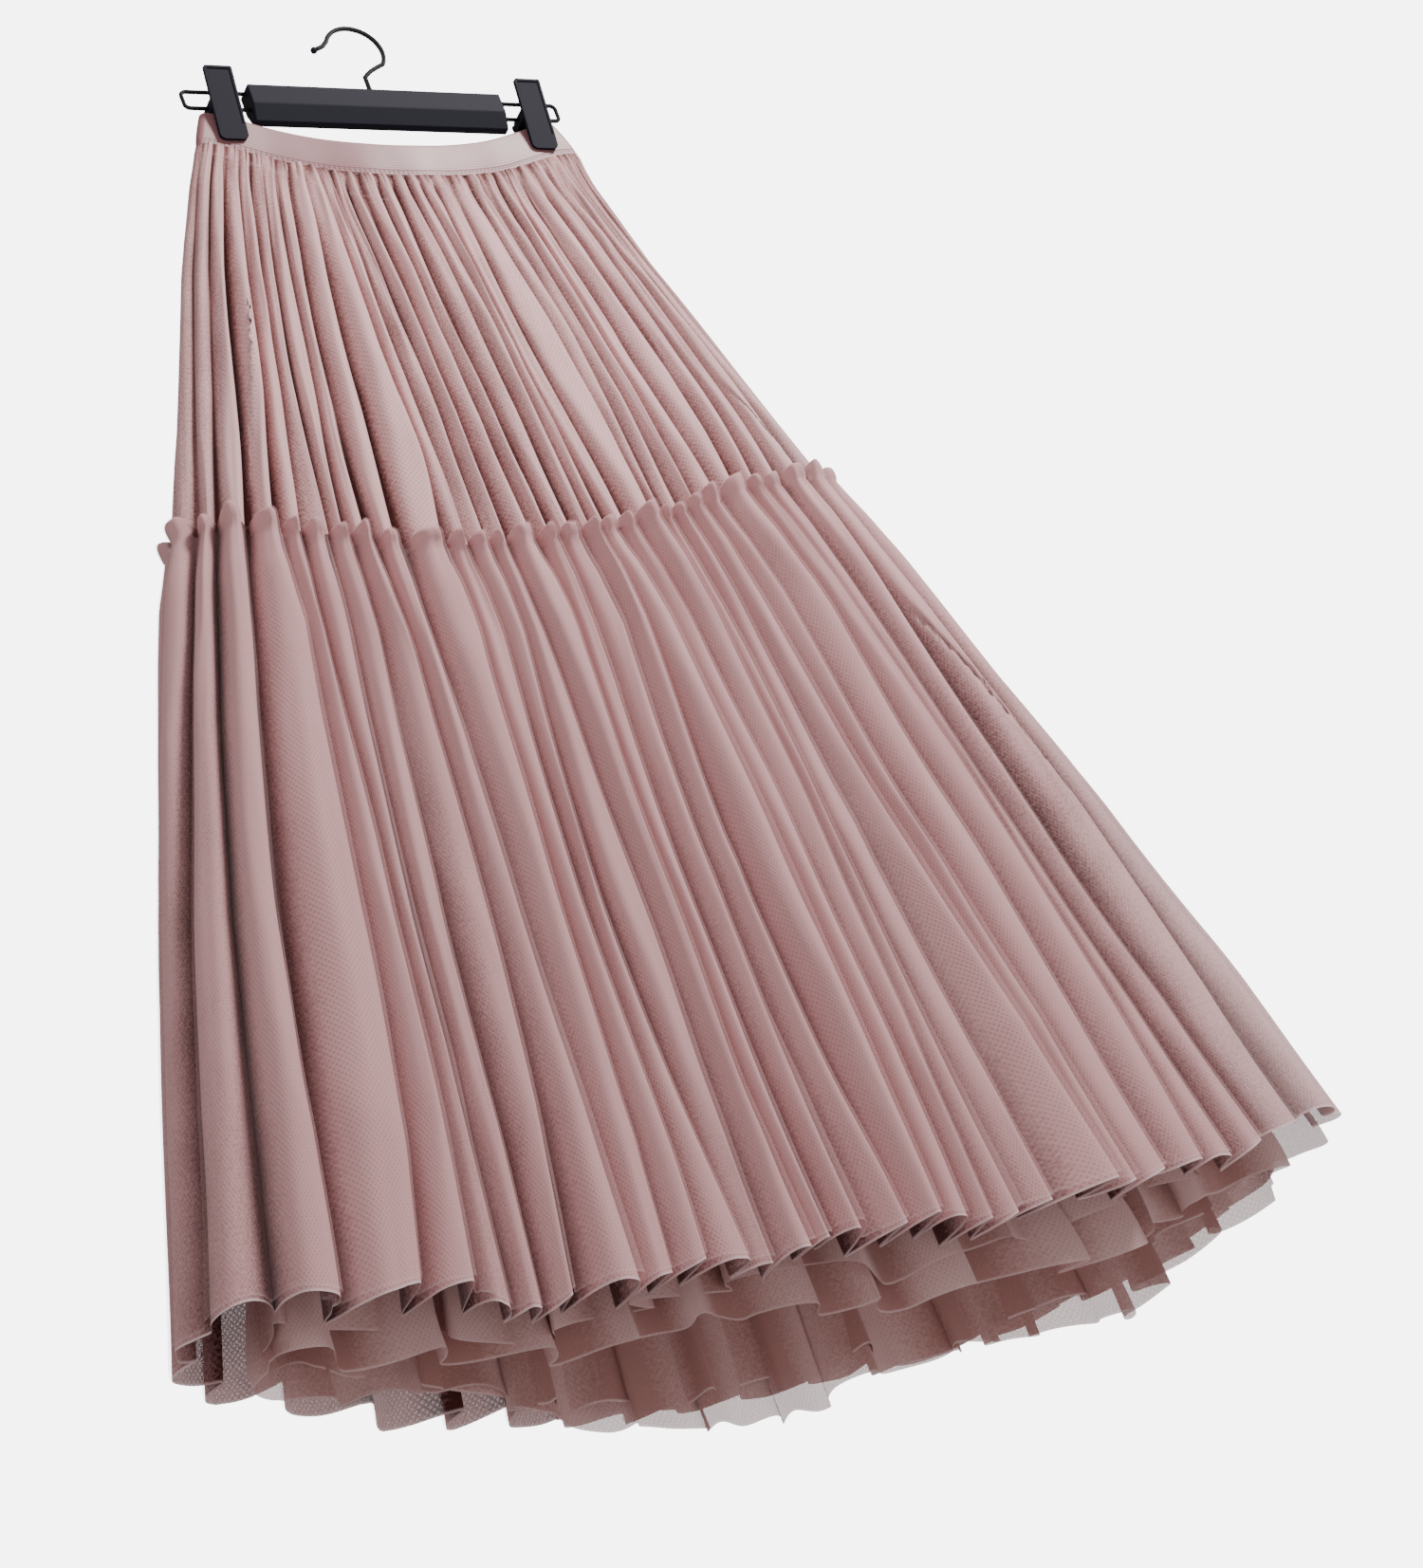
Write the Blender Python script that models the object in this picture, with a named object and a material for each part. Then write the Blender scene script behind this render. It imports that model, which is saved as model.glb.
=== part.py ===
"""A two-tier tulle skirt hung flat on a clip hanger.

Frame: metres, +Z up, the front faces -Y, and the origin is the inside top of the hanger's hook, where a
rail would carry it. The skirt is a waistband, an upper tier gathered into it, and a lower tier gathered
onto the upper one with a net under-layer behind it. Every tier is a thin closed wall. Its cloth
runs down straight lines from the waist to the hem, all of one length, and stands off them in gathered
folds that are rounded outside and sharp in their valleys.
"""

import math

import bmesh
import bpy
import numpy as np
from mathutils import Matrix, Vector

# ---- skirt sizes -------------------------------------------------------------------------------
BAND_HEIGHT = 0.028
BAND_WALL = 0.0020
BAND_TOP_HALF_WIDTH = 0.1400
BAND_HALF_WIDTH = 0.1500
BAND_END_DEPTH = 0.0032
BAND_MID_DEPTH = 0.0120
BAND_BULGE_HALF_WIDTH = 0.1060
BAND_END_Z = -0.1165
BAND_SAG = 0.0330
SAG_HALF_SPAN = 0.1350
SAG_EASE = 0.12
BAND_SAMPLES = 80

WAIST_END_DEPTH = 0.0042
HEM_HALF_WIDTH = 0.3930
HEM_END_DEPTH = 0.0560
HEM_MID_DEPTH = 0.0740
CLOTH_LENGTH = 0.8840
TIER_SEAM = 0.3330

NET_WALL = 0.0012
SEAM_GAP = 0.0003
LAP_GAP = 0.0005

BACK_FOLDS = 22
POINTS_PER_FOLD = 5
FULL_FOLD_SHARE = 0.0170
NARROWEST_FOLD = 0.3
WIDEST_FOLD = 1.3
DEEPEST_VALLEY = 1.0
CALM_FROM = 0.86
MITRE_LIMIT = 0.62
UNDER_FOLDS = 26
POINTS_PER_UNDER_FOLD = 4
HEADING_LIFT = 0.0080
HEADING_DIP = 0.0015
OUTLINE_POINTS = 4000

# The valleys between the front's folds, from the skirt's left end, 0, to its right end, 100, at the
# waist, halfway down the upper tier, at the tier seam, halfway down the lower tier and at the hem.
# depth is how deep the fold on the valley's left is, as a share of its ring's folds.
FRONT_FOLDS = [
    {"waist": 1.5, "hip": 2.5, "seam": 4.0, "shin": 3.0, "hem": 2.5, "depth": 0.9},
    {"waist": 4.5, "hip": 5.5, "seam": 6.5, "shin": 6.5, "hem": 7.5, "depth": 0.8},
    {"waist": 7.0, "hip": 8.5, "seam": 10.0, "shin": 10.5, "hem": 11.0, "depth": 1.1},
    {"waist": 10.0, "hip": 12.0, "seam": 13.5, "shin": 16.0, "hem": 16.0, "depth": 1.2},
    {"waist": 12.5, "hip": 14.5, "seam": 16.0, "shin": 19.0, "hem": 20.0, "depth": 1.1},
    {"waist": 15.0, "hip": 17.0, "seam": 19.0, "shin": 21.0, "hem": 22.0, "depth": 0.8},
    {"waist": 18.0, "hip": 19.5, "seam": 21.5, "shin": 23.5, "hem": 24.0, "depth": 1.0},
    {"waist": 20.5, "hip": 22.0, "seam": 24.5, "shin": 27.0, "hem": 26.5, "depth": 1.0},
    {"waist": 23.5, "hip": 26.0, "seam": 28.0, "shin": 29.5, "hem": 30.0, "depth": 1.1},
    {"waist": 26.5, "hip": 31.0, "seam": 33.0, "shin": 33.0, "hem": 32.5, "depth": 1.1},
    {"waist": 30.0, "hip": 33.5, "seam": 35.5, "shin": 35.5, "hem": 35.0, "depth": 1.1},
    {"waist": 33.0, "hip": 36.5, "seam": 38.0, "shin": 37.5, "hem": 38.0, "depth": 0.9},
    {"waist": 36.5, "hip": 39.5, "seam": 40.5, "shin": 40.0, "hem": 40.5, "depth": 1.0},
    {"waist": 40.5, "hip": 42.5, "seam": 44.5, "shin": 43.0, "hem": 43.5, "depth": 1.2},
    {"waist": 44.0, "hip": 46.0, "seam": 47.5, "shin": 45.5, "hem": 45.5, "depth": 0.9},
    {"waist": 47.5, "hip": 49.5, "seam": 50.5, "shin": 48.0, "hem": 47.5, "depth": 0.9},
    {"waist": 51.0, "hip": 52.0, "seam": 53.0, "shin": 51.0, "hem": 50.5, "depth": 1.1},
    {"waist": 54.5, "hip": 54.5, "seam": 56.0, "shin": 55.0, "hem": 53.5, "depth": 1.2},
    {"waist": 59.0, "hip": 58.5, "seam": 59.0, "shin": 57.5, "hem": 55.5, "depth": 0.9},
    {"waist": 64.0, "hip": 64.0, "seam": 63.5, "shin": 60.0, "hem": 57.5, "depth": 1.1},
    {"waist": 68.5, "hip": 67.5, "seam": 65.5, "shin": 62.0, "hem": 60.0, "depth": 0.8},
    {"waist": 72.5, "hip": 70.5, "seam": 68.0, "shin": 64.5, "hem": 62.5, "depth": 0.8},
    {"waist": 76.0, "hip": 74.0, "seam": 70.5, "shin": 68.5, "hem": 67.5, "depth": 1.2},
    {"waist": 79.5, "hip": 77.5, "seam": 74.5, "shin": 71.5, "hem": 70.5, "depth": 1.1},
    {"waist": 83.5, "hip": 83.0, "seam": 79.5, "shin": 75.5, "hem": 74.0, "depth": 1.1},
    {"waist": 87.0, "hip": 87.0, "seam": 82.5, "shin": 80.0, "hem": 77.5, "depth": 1.0},
    {"waist": 90.5, "hip": 90.0, "seam": 86.5, "shin": 82.5, "hem": 81.0, "depth": 0.9},
    {"waist": 93.5, "hip": 92.5, "seam": 91.0, "shin": 86.0, "hem": 84.5, "depth": 1.0},
    {"waist": 96.5, "hip": 96.0, "seam": 94.5, "shin": 91.0, "hem": 89.5, "depth": 0.9},
    {"waist": 99.0, "hip": 99.0, "seam": 98.0, "shin": 95.5, "hem": 94.5, "depth": 0.8},
]
# Uneven widths and depths of the other folds: each row is one slow wave around the skirt.
WIDTH_WAVES = [
    {"turns": 5, "share": 0.14, "start": 0.6},
    {"turns": 13, "share": 0.13, "start": 2.1},
]
DEPTH_WAVES = [
    {"turns": 9, "share": 0.14, "start": 1.0},
    {"turns": 19, "share": 0.11, "start": 2.2},
]

# One row for each ring of a tier. slant is the cloth length below the waistband, fold is how far the
# folds stand to either side of the cloth's middle surface, and round widens each fold's outside by a
# share of its width. calm is the share of its depth that a fold loses at the skirt's two ends, and left
# and right are how far those ends stand out beyond a straight line from waist to hem. puff is how much
# further out the gathered heading stands at the top of each fold, and lap is how far a whole ring is
# moved out over the tier above.
UPPER_RINGS = [
    {"slant": 0.0003, "fold": 0.0013, "round": 0.00, "calm": 0.5, "left": 0.000, "right": 0.000},
    {"slant": 0.0350, "fold": 0.0030, "round": 0.08, "calm": 0.6, "left": 0.004, "right": -0.006},
    {"slant": 0.1150, "fold": 0.0060, "round": 0.08, "calm": 0.6, "left": 0.009, "right": -0.009},
    {"slant": 0.2250, "fold": 0.0078, "round": 0.10, "calm": 0.6, "left": 0.012, "right": -0.007},
    {"slant": 0.3330, "fold": 0.0062, "round": 0.02, "calm": 0.5, "left": 0.016, "right": -0.003},
]
LOWER_RINGS = [
    {"slant": 0.3400, "fold": 0.0062, "round": 0.02, "calm": 0.5, "left": 0.016, "right": -0.002,
     "puff": 0.0045, "lap": 0.0017},
    {"slant": 0.3750, "fold": 0.0094, "round": 0.10, "calm": 0.4, "left": 0.017, "right": 0.000,
     "puff": 0.0045},
    {"slant": 0.4900, "fold": 0.0116, "round": 0.10, "calm": 0.4, "left": 0.017, "right": 0.009,
     "puff": 0.0015},
    {"slant": 0.6300, "fold": 0.0134, "round": 0.10, "calm": 0.4, "left": 0.014, "right": 0.018},
    {"slant": 0.7700, "fold": 0.0150, "round": 0.10, "calm": 0.4, "left": 0.007, "right": 0.018},
    {"slant": 0.8840, "fold": 0.0160, "round": 0.10, "calm": 0.4, "left": 0.002, "right": 0.014},
]
# The under-layer's rings have their own flattened section, just inside the lower tier's deepest valleys.
UNDER_RINGS = [
    {"slant": 0.3420, "half_width": 0.2270, "end_depth": 0.0080, "mid_depth": 0.0200, "fold": 0.0007},
    {"slant": 0.5000, "half_width": 0.2620, "end_depth": 0.0095, "mid_depth": 0.0225, "fold": 0.0036},
    {"slant": 0.7000, "half_width": 0.3150, "end_depth": 0.0150, "mid_depth": 0.0300, "fold": 0.0055},
    {"slant": 0.8880, "half_width": 0.3600, "end_depth": 0.0210, "mid_depth": 0.0385, "fold": 0.0085},
]

# How far the tier seam, the front hem and the back hem lie above where cloth of one length would put
# them, from the left end of the skirt (side -1) to its right end (side 1).
EDGE_LIFTS = [
    {"side": -1.0, "seam": -0.008, "front_hem": 0.004, "back_hem": 0.000},
    {"side": -0.6, "seam": -0.005, "front_hem": 0.010, "back_hem": -0.004},
    {"side": -0.3, "seam": -0.004, "front_hem": 0.028, "back_hem": -0.003},
    {"side": 0.0, "seam": 0.003, "front_hem": 0.031, "back_hem": 0.000},
    {"side": 0.3, "seam": 0.011, "front_hem": 0.025, "back_hem": -0.006},
    {"side": 0.6, "seam": 0.020, "front_hem": 0.015, "back_hem": -0.015},
    {"side": 0.8, "seam": 0.016, "front_hem": 0.004, "back_hem": -0.016},
    {"side": 1.0, "seam": 0.012, "front_hem": 0.004, "back_hem": -0.005},
]

# ---- hanger sizes ------------------------------------------------------------------------------
HOOK_RADIUS = 0.0220
HOOK_WIRE = 0.0035
HOOK_ARC_STEPS = 18
HOOK_ARC_START = -32
HOOK_ARC_END = 158
HOOK_NECK_RISE = 0.0080
HOOK_BEND_RISE = 0.0180
HOOK_BOW = 0.0020
HOOK_TIP_RADIUS = 0.0026
# The hook's last bends, from the end of its arc to its tip.
HOOK_LIP = [
    {"x": -0.0045, "z": -0.0050},
    {"x": -0.0100, "z": -0.0080},
]
BAR_HALF_LENGTH = 0.1000
BAR_TOP = -0.0640
BAR_HEIGHT = 0.0300
BAR_RIDGE_DROP = 0.0170
BAR_HALF_DEPTH = 0.0080
BAR_FOOT_HALF_DEPTH = 0.0030
RAIL_WIRE = 0.0030
RAIL_TOP = -0.0665
RAIL_DROP = 0.0150
RAIL_END = 0.1500
RAIL_CORNER = 0.0040
CLIP_X = 0.1225
CLIP_WIDTH = 0.0210
CLIP_TOP = -0.0545
CLIP_FOOT = -0.1140
CLIP_PLATE = 0.0030
CLIP_TOP_GAP = 0.0130
CLIP_RECESS = 0.0008
CLIP_RIM = 0.0035
CLIP_CORNER = 0.0040
HUB_INSET = 0.0015
BAR_BEVEL = 0.0008
HUB_BEVEL = 0.0006

NET_COLOUR = (0.52, 0.36, 0.36, 1.0)
UNDER_COLOUR = (0.40, 0.26, 0.26, 1.0)
BAND_COLOUR = (0.66, 0.50, 0.50, 1.0)
PLASTIC_COLOUR = (0.045, 0.046, 0.055, 1.0)
WIRE_COLOUR = (0.020, 0.018, 0.018, 1.0)


def clear_scene():
    for thing in list(bpy.data.objects):
        bpy.data.objects.remove(thing, do_unlink=True)


def material(name, colour, roughness, metallic):
    new = bpy.data.materials.new(name)
    new.use_nodes = True
    shader = new.node_tree.nodes["Principled BSDF"]
    shader.inputs["Base Color"].default_value = colour
    shader.inputs["Roughness"].default_value = roughness
    shader.inputs["Metallic"].default_value = metallic
    return new


def add_object(name, data, surface):
    data.materials.append(surface)
    thing = bpy.data.objects.new(name, data)
    bpy.context.scene.collection.objects.link(thing)
    return thing


# ---- cloth sections ----------------------------------------------------------------------------
def flat_oval(half_width, end_depth, mid_depth, bulge_half_width):
    """A flattened ring seen from above, by equal steps along its edge, from +X through the front (-Y).

    Its two ends are half circles, and between the bulge's ends its long sides stand out to mid_depth.
    """
    straight = half_width - end_depth
    quarter = OUTLINE_POINTS // 4
    end_angle = np.linspace(0.0, math.pi / 2, quarter)
    end_x = straight + end_depth * np.cos(end_angle)
    end_y = -end_depth * np.sin(end_angle)
    side_x = np.linspace(straight, 0.0, quarter)[1:]
    bulge = np.cos(math.pi / 2 * np.clip(side_x / bulge_half_width, 0.0, 1.0)) ** 2
    side_y = -(end_depth + (mid_depth - end_depth) * bulge)
    front_right = np.column_stack([np.concatenate([end_x, side_x]), np.concatenate([end_y, side_y])])
    front_left = front_right[::-1][1:] * (-1.0, 1.0)
    front = np.vstack([front_right, front_left])
    back = front[::-1][1:] * (1.0, -1.0)
    outline = np.vstack([front, back])
    steps = np.linalg.norm(np.diff(outline, axis=0), axis=1)
    along = np.concatenate([[0.0], np.cumsum(steps)])
    wanted = np.linspace(0.0, along[-1], OUTLINE_POINTS, endpoint=False)
    return np.column_stack([np.interp(wanted, along, outline[:, axis]) for axis in (0, 1)])


def sag(x):
    """How far the waistband hangs down between its two clips, easing out level under each clip."""
    hang = np.cos(math.pi / 2 * x / SAG_HALF_SPAN)
    return BAND_SAG * (hang + np.sqrt(hang**2 + SAG_EASE**2)) / 2


WAIST = flat_oval(BAND_HALF_WIDTH, WAIST_END_DEPTH, BAND_MID_DEPTH, BAND_BULGE_HALF_WIDTH)
HEM = flat_oval(HEM_HALF_WIDTH, HEM_END_DEPTH, HEM_MID_DEPTH, HEM_HALF_WIDTH)


def side_of(flat):
    """Where each point of a ring lies from its left end, -1, to its right end, 1."""
    x = flat[:, 0]
    return x / np.where(x < 0, -x.min(), x.max())


def edge_lift(slant, flat):
    """How far the cloth is lifted at one slant length: nothing at the waist, then the table's amounts."""
    sides = [row["side"] for row in EDGE_LIFTS]
    lifts = {}
    for edge in ("seam", "front_hem", "back_hem"):
        lifts[edge] = np.interp(side_of(flat), sides, [row[edge] for row in EDGE_LIFTS])
    hem = np.where(flat[:, 1] < 0, lifts["front_hem"], lifts["back_hem"])
    if slant <= TIER_SEAM:
        return lifts["seam"] * slant / TIER_SEAM
    share = (slant - TIER_SEAM) / (CLOTH_LENGTH - TIER_SEAM)
    return lifts["seam"] + (hem - lifts["seam"]) * share


def cloth_line(slant, left=0.0, right=0.0):
    """The cloth's middle surface at one slant length: flat points around the skirt and their heights."""
    share = slant / CLOTH_LENGTH
    flat = WAIST + (HEM - WAIST) * share
    side = side_of(flat)
    flat[:, 0] += side * np.where(side < 0, left, right)
    run = np.linalg.norm(HEM - WAIST, axis=1)
    drop = np.sqrt(CLOTH_LENGTH**2 - run**2)
    height = BAND_END_Z - sag(WAIST[:, 0]) - drop * share + edge_lift(slant, flat)
    return flat, height


def sample_ring(values, fractions):
    """Reads values kept at OUTLINE_POINTS equal steps of a closed ring at any fractions of it."""
    place = (fractions % 1.0) * OUTLINE_POINTS
    low = place.astype(int) % OUTLINE_POINTS
    high = (low + 1) % OUTLINE_POINTS
    mix = place - np.floor(place)
    if values.ndim > 1:
        mix = mix[:, None]
    return values[low] * (1 - mix) + values[high] * mix


def wavy(around):
    """Places around a ring moved by the width waves, and the depth waves' share at each of them."""
    moved = np.array(around, dtype=float)
    depth = np.ones(len(moved))
    for wave in WIDTH_WAVES:
        angle = 2 * math.pi * wave["turns"] * around + wave["start"]
        moved += wave["share"] / (2 * math.pi * wave["turns"]) * np.sin(angle)
    for wave in DEPTH_WAVES:
        depth += wave["share"] * np.sin(2 * math.pi * wave["turns"] * around + wave["start"])
    return moved, depth


def tier_valleys(slant):
    """The places around the ring of every valley at one slant length, and the depth of each fold.

    Front valleys follow smooth curves through the table's three places for their tier. The back's
    stand between them at nearly equal steps.
    """
    if slant <= TIER_SEAM:
        names = ("waist", "hip", "seam")
        share = slant / TIER_SEAM
    else:
        names = ("seam", "shin", "hem")
        share = (slant - TIER_SEAM) / (CLOTH_LENGTH - TIER_SEAM)
    weights = ((1 - share) * (1 - 2 * share), 4 * share * (1 - share), share * (2 * share - 1))
    front = []
    for row in reversed(FRONT_FOLDS):
        across = sum(weight * row[name] for weight, name in zip(weights, names))
        front.append(0.5 * (1 - across / 100))
    steps = np.arange(1, BACK_FOLDS) / BACK_FOLDS
    moved, depth = wavy(front[-1] + steps * (1 + front[0] - front[-1]))
    front_depth = [row["depth"] for row in reversed(FRONT_FOLDS[1:])]
    end_depth = FRONT_FOLDS[0]["depth"]
    depths = np.concatenate([front_depth, [end_depth], depth])
    return np.concatenate([front, moved]), depths


def tier_places(slant):
    """Where a tier's ring has its points: place around, part of its fold, width, ridge and valley.

    A fold narrower than FULL_FOLD_SHARE of the ring is shallower, and a wider one stands out further.
    No valley is deeper than DEEPEST_VALLEY of its ring's folds, which keeps the hollow inside open.
    """
    valleys, depths = tier_valleys(slant)
    widths = np.diff(np.append(valleys, valleys[0] + 1))
    depths = depths * np.sqrt(np.clip(widths / FULL_FOLD_SHARE, NARROWEST_FOLD, WIDEST_FOLD))
    low = np.minimum((depths + np.roll(depths, 1)) / 2, DEEPEST_VALLEY)
    part = np.tile(np.arange(POINTS_PER_FOLD) / POINTS_PER_FOLD, len(valleys))
    fold = np.repeat(np.arange(len(valleys)), POINTS_PER_FOLD)
    valley = low[fold] + (np.roll(low, -1)[fold] - low[fold]) * part
    return valleys[fold] + widths[fold] * part, part, widths[fold], depths[fold], valley


def under_places():
    """The same for the under-layer, whose folds are nearly even."""
    count = UNDER_FOLDS * POINTS_PER_UNDER_FOLD
    around, depth = wavy(np.arange(count) / count)
    part = (np.arange(count) % POINTS_PER_UNDER_FOLD) / POINTS_PER_UNDER_FOLD
    width = np.ones(count) / UNDER_FOLDS
    return around, part, width, depth, np.minimum(depth, DEEPEST_VALLEY)


def folded(flat, height, row, places):
    """Stands folds off a smooth ring, at the places given: the folded ring's flat points and heights."""
    around, part, width, ridge, valley = places
    sideways = np.roll(flat, -1, axis=0) - np.roll(flat, 1, axis=0)
    pace = np.linalg.norm(sideways, axis=1)
    sideways = sideways / pace[:, None]
    outward = np.column_stack([sideways[:, 1], -sideways[:, 0]])
    outward = outward * np.sign((outward * flat).sum(axis=1))[:, None]
    toward_end = (np.abs(side_of(flat)) - CALM_FROM) / (1 - CALM_FROM)
    calm = 1 - row.get("calm", 0.0) * np.clip(toward_end, 0.0, 1.0)
    here = [sample_ring(values, around) for values in (flat, height, outward, sideways, pace, calm)]
    flat, height, outward, sideways, pace, calm = here
    rise = (1 - np.cos(2 * math.pi * part)) / 2
    out = row["fold"] * calm * ((ridge + valley) * rise - valley) + row.get("puff", 0.0) * rise
    fold_width = pace * OUTLINE_POINTS / 2 * width
    aside = -row.get("round", 0.0) * fold_width * np.sin(2 * math.pi * part)
    points = flat + outward * out[:, None] + sideways * aside[:, None]
    return moved_out(points, row.get("lap", 0.0)), height


def tier_ring(row):
    flat, height = cloth_line(row["slant"], row["left"], row["right"])
    return folded(flat, height, row, tier_places(row["slant"]))


def under_ring(row):
    flat = flat_oval(row["half_width"], row["end_depth"], row["mid_depth"], row["half_width"])
    return folded(flat, cloth_line(row["slant"])[1], row, under_places())


def moved_out(points, distance):
    """A closed ring's points moved out square to its edges by distance, or in where it is negative."""
    before = points - np.roll(points, 1, axis=0)
    after = np.roll(before, -1, axis=0)
    square_before = np.column_stack([before[:, 1], -before[:, 0]])
    square_after = np.column_stack([after[:, 1], -after[:, 0]])
    square_before /= np.linalg.norm(square_before, axis=1)[:, None]
    square_after /= np.linalg.norm(square_after, axis=1)[:, None]
    middle = square_before + square_after
    middle /= np.linalg.norm(middle, axis=1)[:, None]
    spread = np.clip((middle * square_before).sum(axis=1), MITRE_LIMIT, 1.0)
    area = (points[:, 0] * np.roll(points[:, 1], -1) - np.roll(points[:, 0], -1) * points[:, 1]).sum()
    return points + middle * (math.copysign(distance, distance * area) / spread)[:, None]


def wall_mesh(name, rings, wall):
    """A closed wall from its outer rings, top ring first: outer side, inner side and both edges."""
    outer = [np.column_stack([points, height]) for points, height in rings]
    inner = [np.column_stack([moved_out(points, -wall), height]) for points, height in rings]
    bm = bmesh.new()
    loops = []
    for ring in outer + inner[::-1]:
        loops.append([bm.verts.new(Vector(point)) for point in ring])
    loops.append(loops[0])
    for upper, lower in zip(loops, loops[1:]):
        for here in range(len(upper)):
            following = (here + 1) % len(upper)
            bm.faces.new((upper[here], lower[here], lower[following], upper[following]))
    bmesh.ops.triangulate(bm, faces=bm.faces[:], quad_method="SHORT_EDGE")
    bmesh.ops.recalc_face_normals(bm, faces=bm.faces[:])
    data = bpy.data.meshes.new(name)
    bm.to_mesh(data)
    bm.free()
    data.shade_smooth()
    data.set_sharp_from_angle(angle=math.radians(50))
    return data


def waistband():
    """The ribbon-faced elastic band: top edge pinched by the clips, sagging between them."""
    samples = (np.arange(BAND_SAMPLES) + 0.5) / BAND_SAMPLES
    foot = flat_oval(BAND_HALF_WIDTH, BAND_END_DEPTH, BAND_MID_DEPTH, BAND_BULGE_HALF_WIDTH)
    top = flat_oval(BAND_TOP_HALF_WIDTH, BAND_END_DEPTH, BAND_MID_DEPTH, BAND_BULGE_HALF_WIDTH)
    rings = []
    for share in (1.0, 0.5, 0.0):
        flat = sample_ring(foot + (top - foot) * share, samples)
        height = BAND_END_Z - sag(sample_ring(foot[:, 0], samples)) + BAND_HEIGHT * share
        rings.append((flat, height))
    return wall_mesh("waistband", rings, BAND_WALL)


def upper_tier():
    return wall_mesh("upper_tier", [tier_ring(row) for row in UPPER_RINGS], NET_WALL)


def lower_tier():
    """The lower tier: its heading laps over the upper tier's foot and stands higher on each fold."""
    above, foot = UPPER_RINGS[-2:]
    part = tier_places(foot["slant"])[1]
    lift = HEADING_DIP + HEADING_LIFT * (1 - np.cos(2 * math.pi * part)) / 2
    foot_points, foot_height = tier_ring(foot)
    above_points, above_height = tier_ring(above)
    climb = lift / (foot["slant"] - above["slant"])
    lapped = foot_points + (above_points - foot_points) * climb[:, None]
    heading = moved_out(lapped, NET_WALL + LAP_GAP)
    rings = [(heading, foot_height + (above_height - foot_height) * climb)]
    rings += [tier_ring(row) for row in LOWER_RINGS]
    return wall_mesh("lower_tier", rings, NET_WALL)


def under_layer():
    return wall_mesh("under_layer", [under_ring(row) for row in UNDER_RINGS], NET_WALL)


# ---- hanger ------------------------------------------------------------------------------------
def wire(name, points, diameter, surface):
    """A round wire along points, with closed ends."""
    curve = bpy.data.curves.new(name, "CURVE")
    curve.dimensions = "3D"
    curve.bevel_depth = diameter / 2
    curve.bevel_resolution = 2
    curve.use_fill_caps = True
    spline = curve.splines.new("POLY")
    spline.points.add(len(points) - 1)
    for point, place in zip(spline.points, points):
        point.co = (*place, 1.0)
    return add_object(name, curve, surface)


def hook_points():
    """The hook's middle line, from its neck in the bar, round over the rail to its tip."""
    centre_z = HOOK_WIRE / 2 - HOOK_RADIUS
    foot_z = BAR_TOP + SEAM_GAP
    bend = Vector((0.0, 0.0, foot_z + HOOK_BEND_RISE))
    arc = []
    for step in range(HOOK_ARC_STEPS + 1):
        angle = math.radians(HOOK_ARC_START + (HOOK_ARC_END - HOOK_ARC_START) * step / HOOK_ARC_STEPS)
        arc.append((HOOK_RADIUS * math.cos(angle), 0.0, centre_z + HOOK_RADIUS * math.sin(angle)))
    points = [(0.0, 0.0, foot_z), (0.0, 0.0, foot_z + HOOK_NECK_RISE)]
    for share in (0.0, 0.25, 0.5, 0.75):
        bow = Vector((HOOK_BOW * math.sin(math.pi * share), 0.0, 0.0))
        points.append(tuple(bend.lerp(Vector(arc[0]), share) - bow))
    points += arc
    last = Vector(arc[-1])
    points += [tuple(last + Vector((row["x"], 0.0, row["z"]))) for row in HOOK_LIP]
    return points


def hook_and_tip(surface, tip_surface):
    points = hook_points()
    wire("hook", points, HOOK_WIRE, surface)
    end = Vector(points[-1])
    heading = (end - Vector(points[-2])).normalized()
    bm = bmesh.new()
    bmesh.ops.create_uvsphere(bm, u_segments=12, v_segments=8, radius=HOOK_TIP_RADIUS)
    bmesh.ops.translate(bm, verts=bm.verts[:], vec=end + heading * (HOOK_TIP_RADIUS + SEAM_GAP))
    data = bpy.data.meshes.new("hook_tip")
    bm.to_mesh(data)
    bm.free()
    data.shade_smooth()
    add_object("hook_tip", data, tip_surface)


def extruded(name, profile, x_from, x_to, bevel):
    """A bar of one (y, z) profile along X, with its edges taken off by bevel."""
    bm = bmesh.new()
    face = bm.faces.new([bm.verts.new((x_from, y, z)) for y, z in profile])
    grown = bmesh.ops.extrude_face_region(bm, geom=[face])
    moved = [item for item in grown["geom"] if isinstance(item, bmesh.types.BMVert)]
    bmesh.ops.translate(bm, verts=moved, vec=(x_to - x_from, 0.0, 0.0))
    bmesh.ops.recalc_face_normals(bm, faces=bm.faces[:])
    bmesh.ops.bevel(
        bm, geom=bm.edges[:], offset=bevel, segments=2, profile=0.5, affect="EDGES", material=-1
    )
    data = bpy.data.meshes.new(name)
    bm.to_mesh(data)
    bm.free()
    return data


def bar(surface):
    """The moulded bar: upright faces above a ridge, and slanted faces running in below it."""
    profile = []
    for side in (-1, 1):
        half = [
            (side * BAR_FOOT_HALF_DEPTH, BAR_TOP - BAR_HEIGHT),
            (side * BAR_HALF_DEPTH, BAR_TOP - BAR_RIDGE_DROP),
            (side * BAR_HALF_DEPTH, BAR_TOP),
        ]
        profile += half if side < 0 else half[::-1]
    data = extruded("bar", profile, -BAR_HALF_LENGTH, BAR_HALF_LENGTH, BAR_BEVEL)
    add_object("bar", data, surface)


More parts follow.
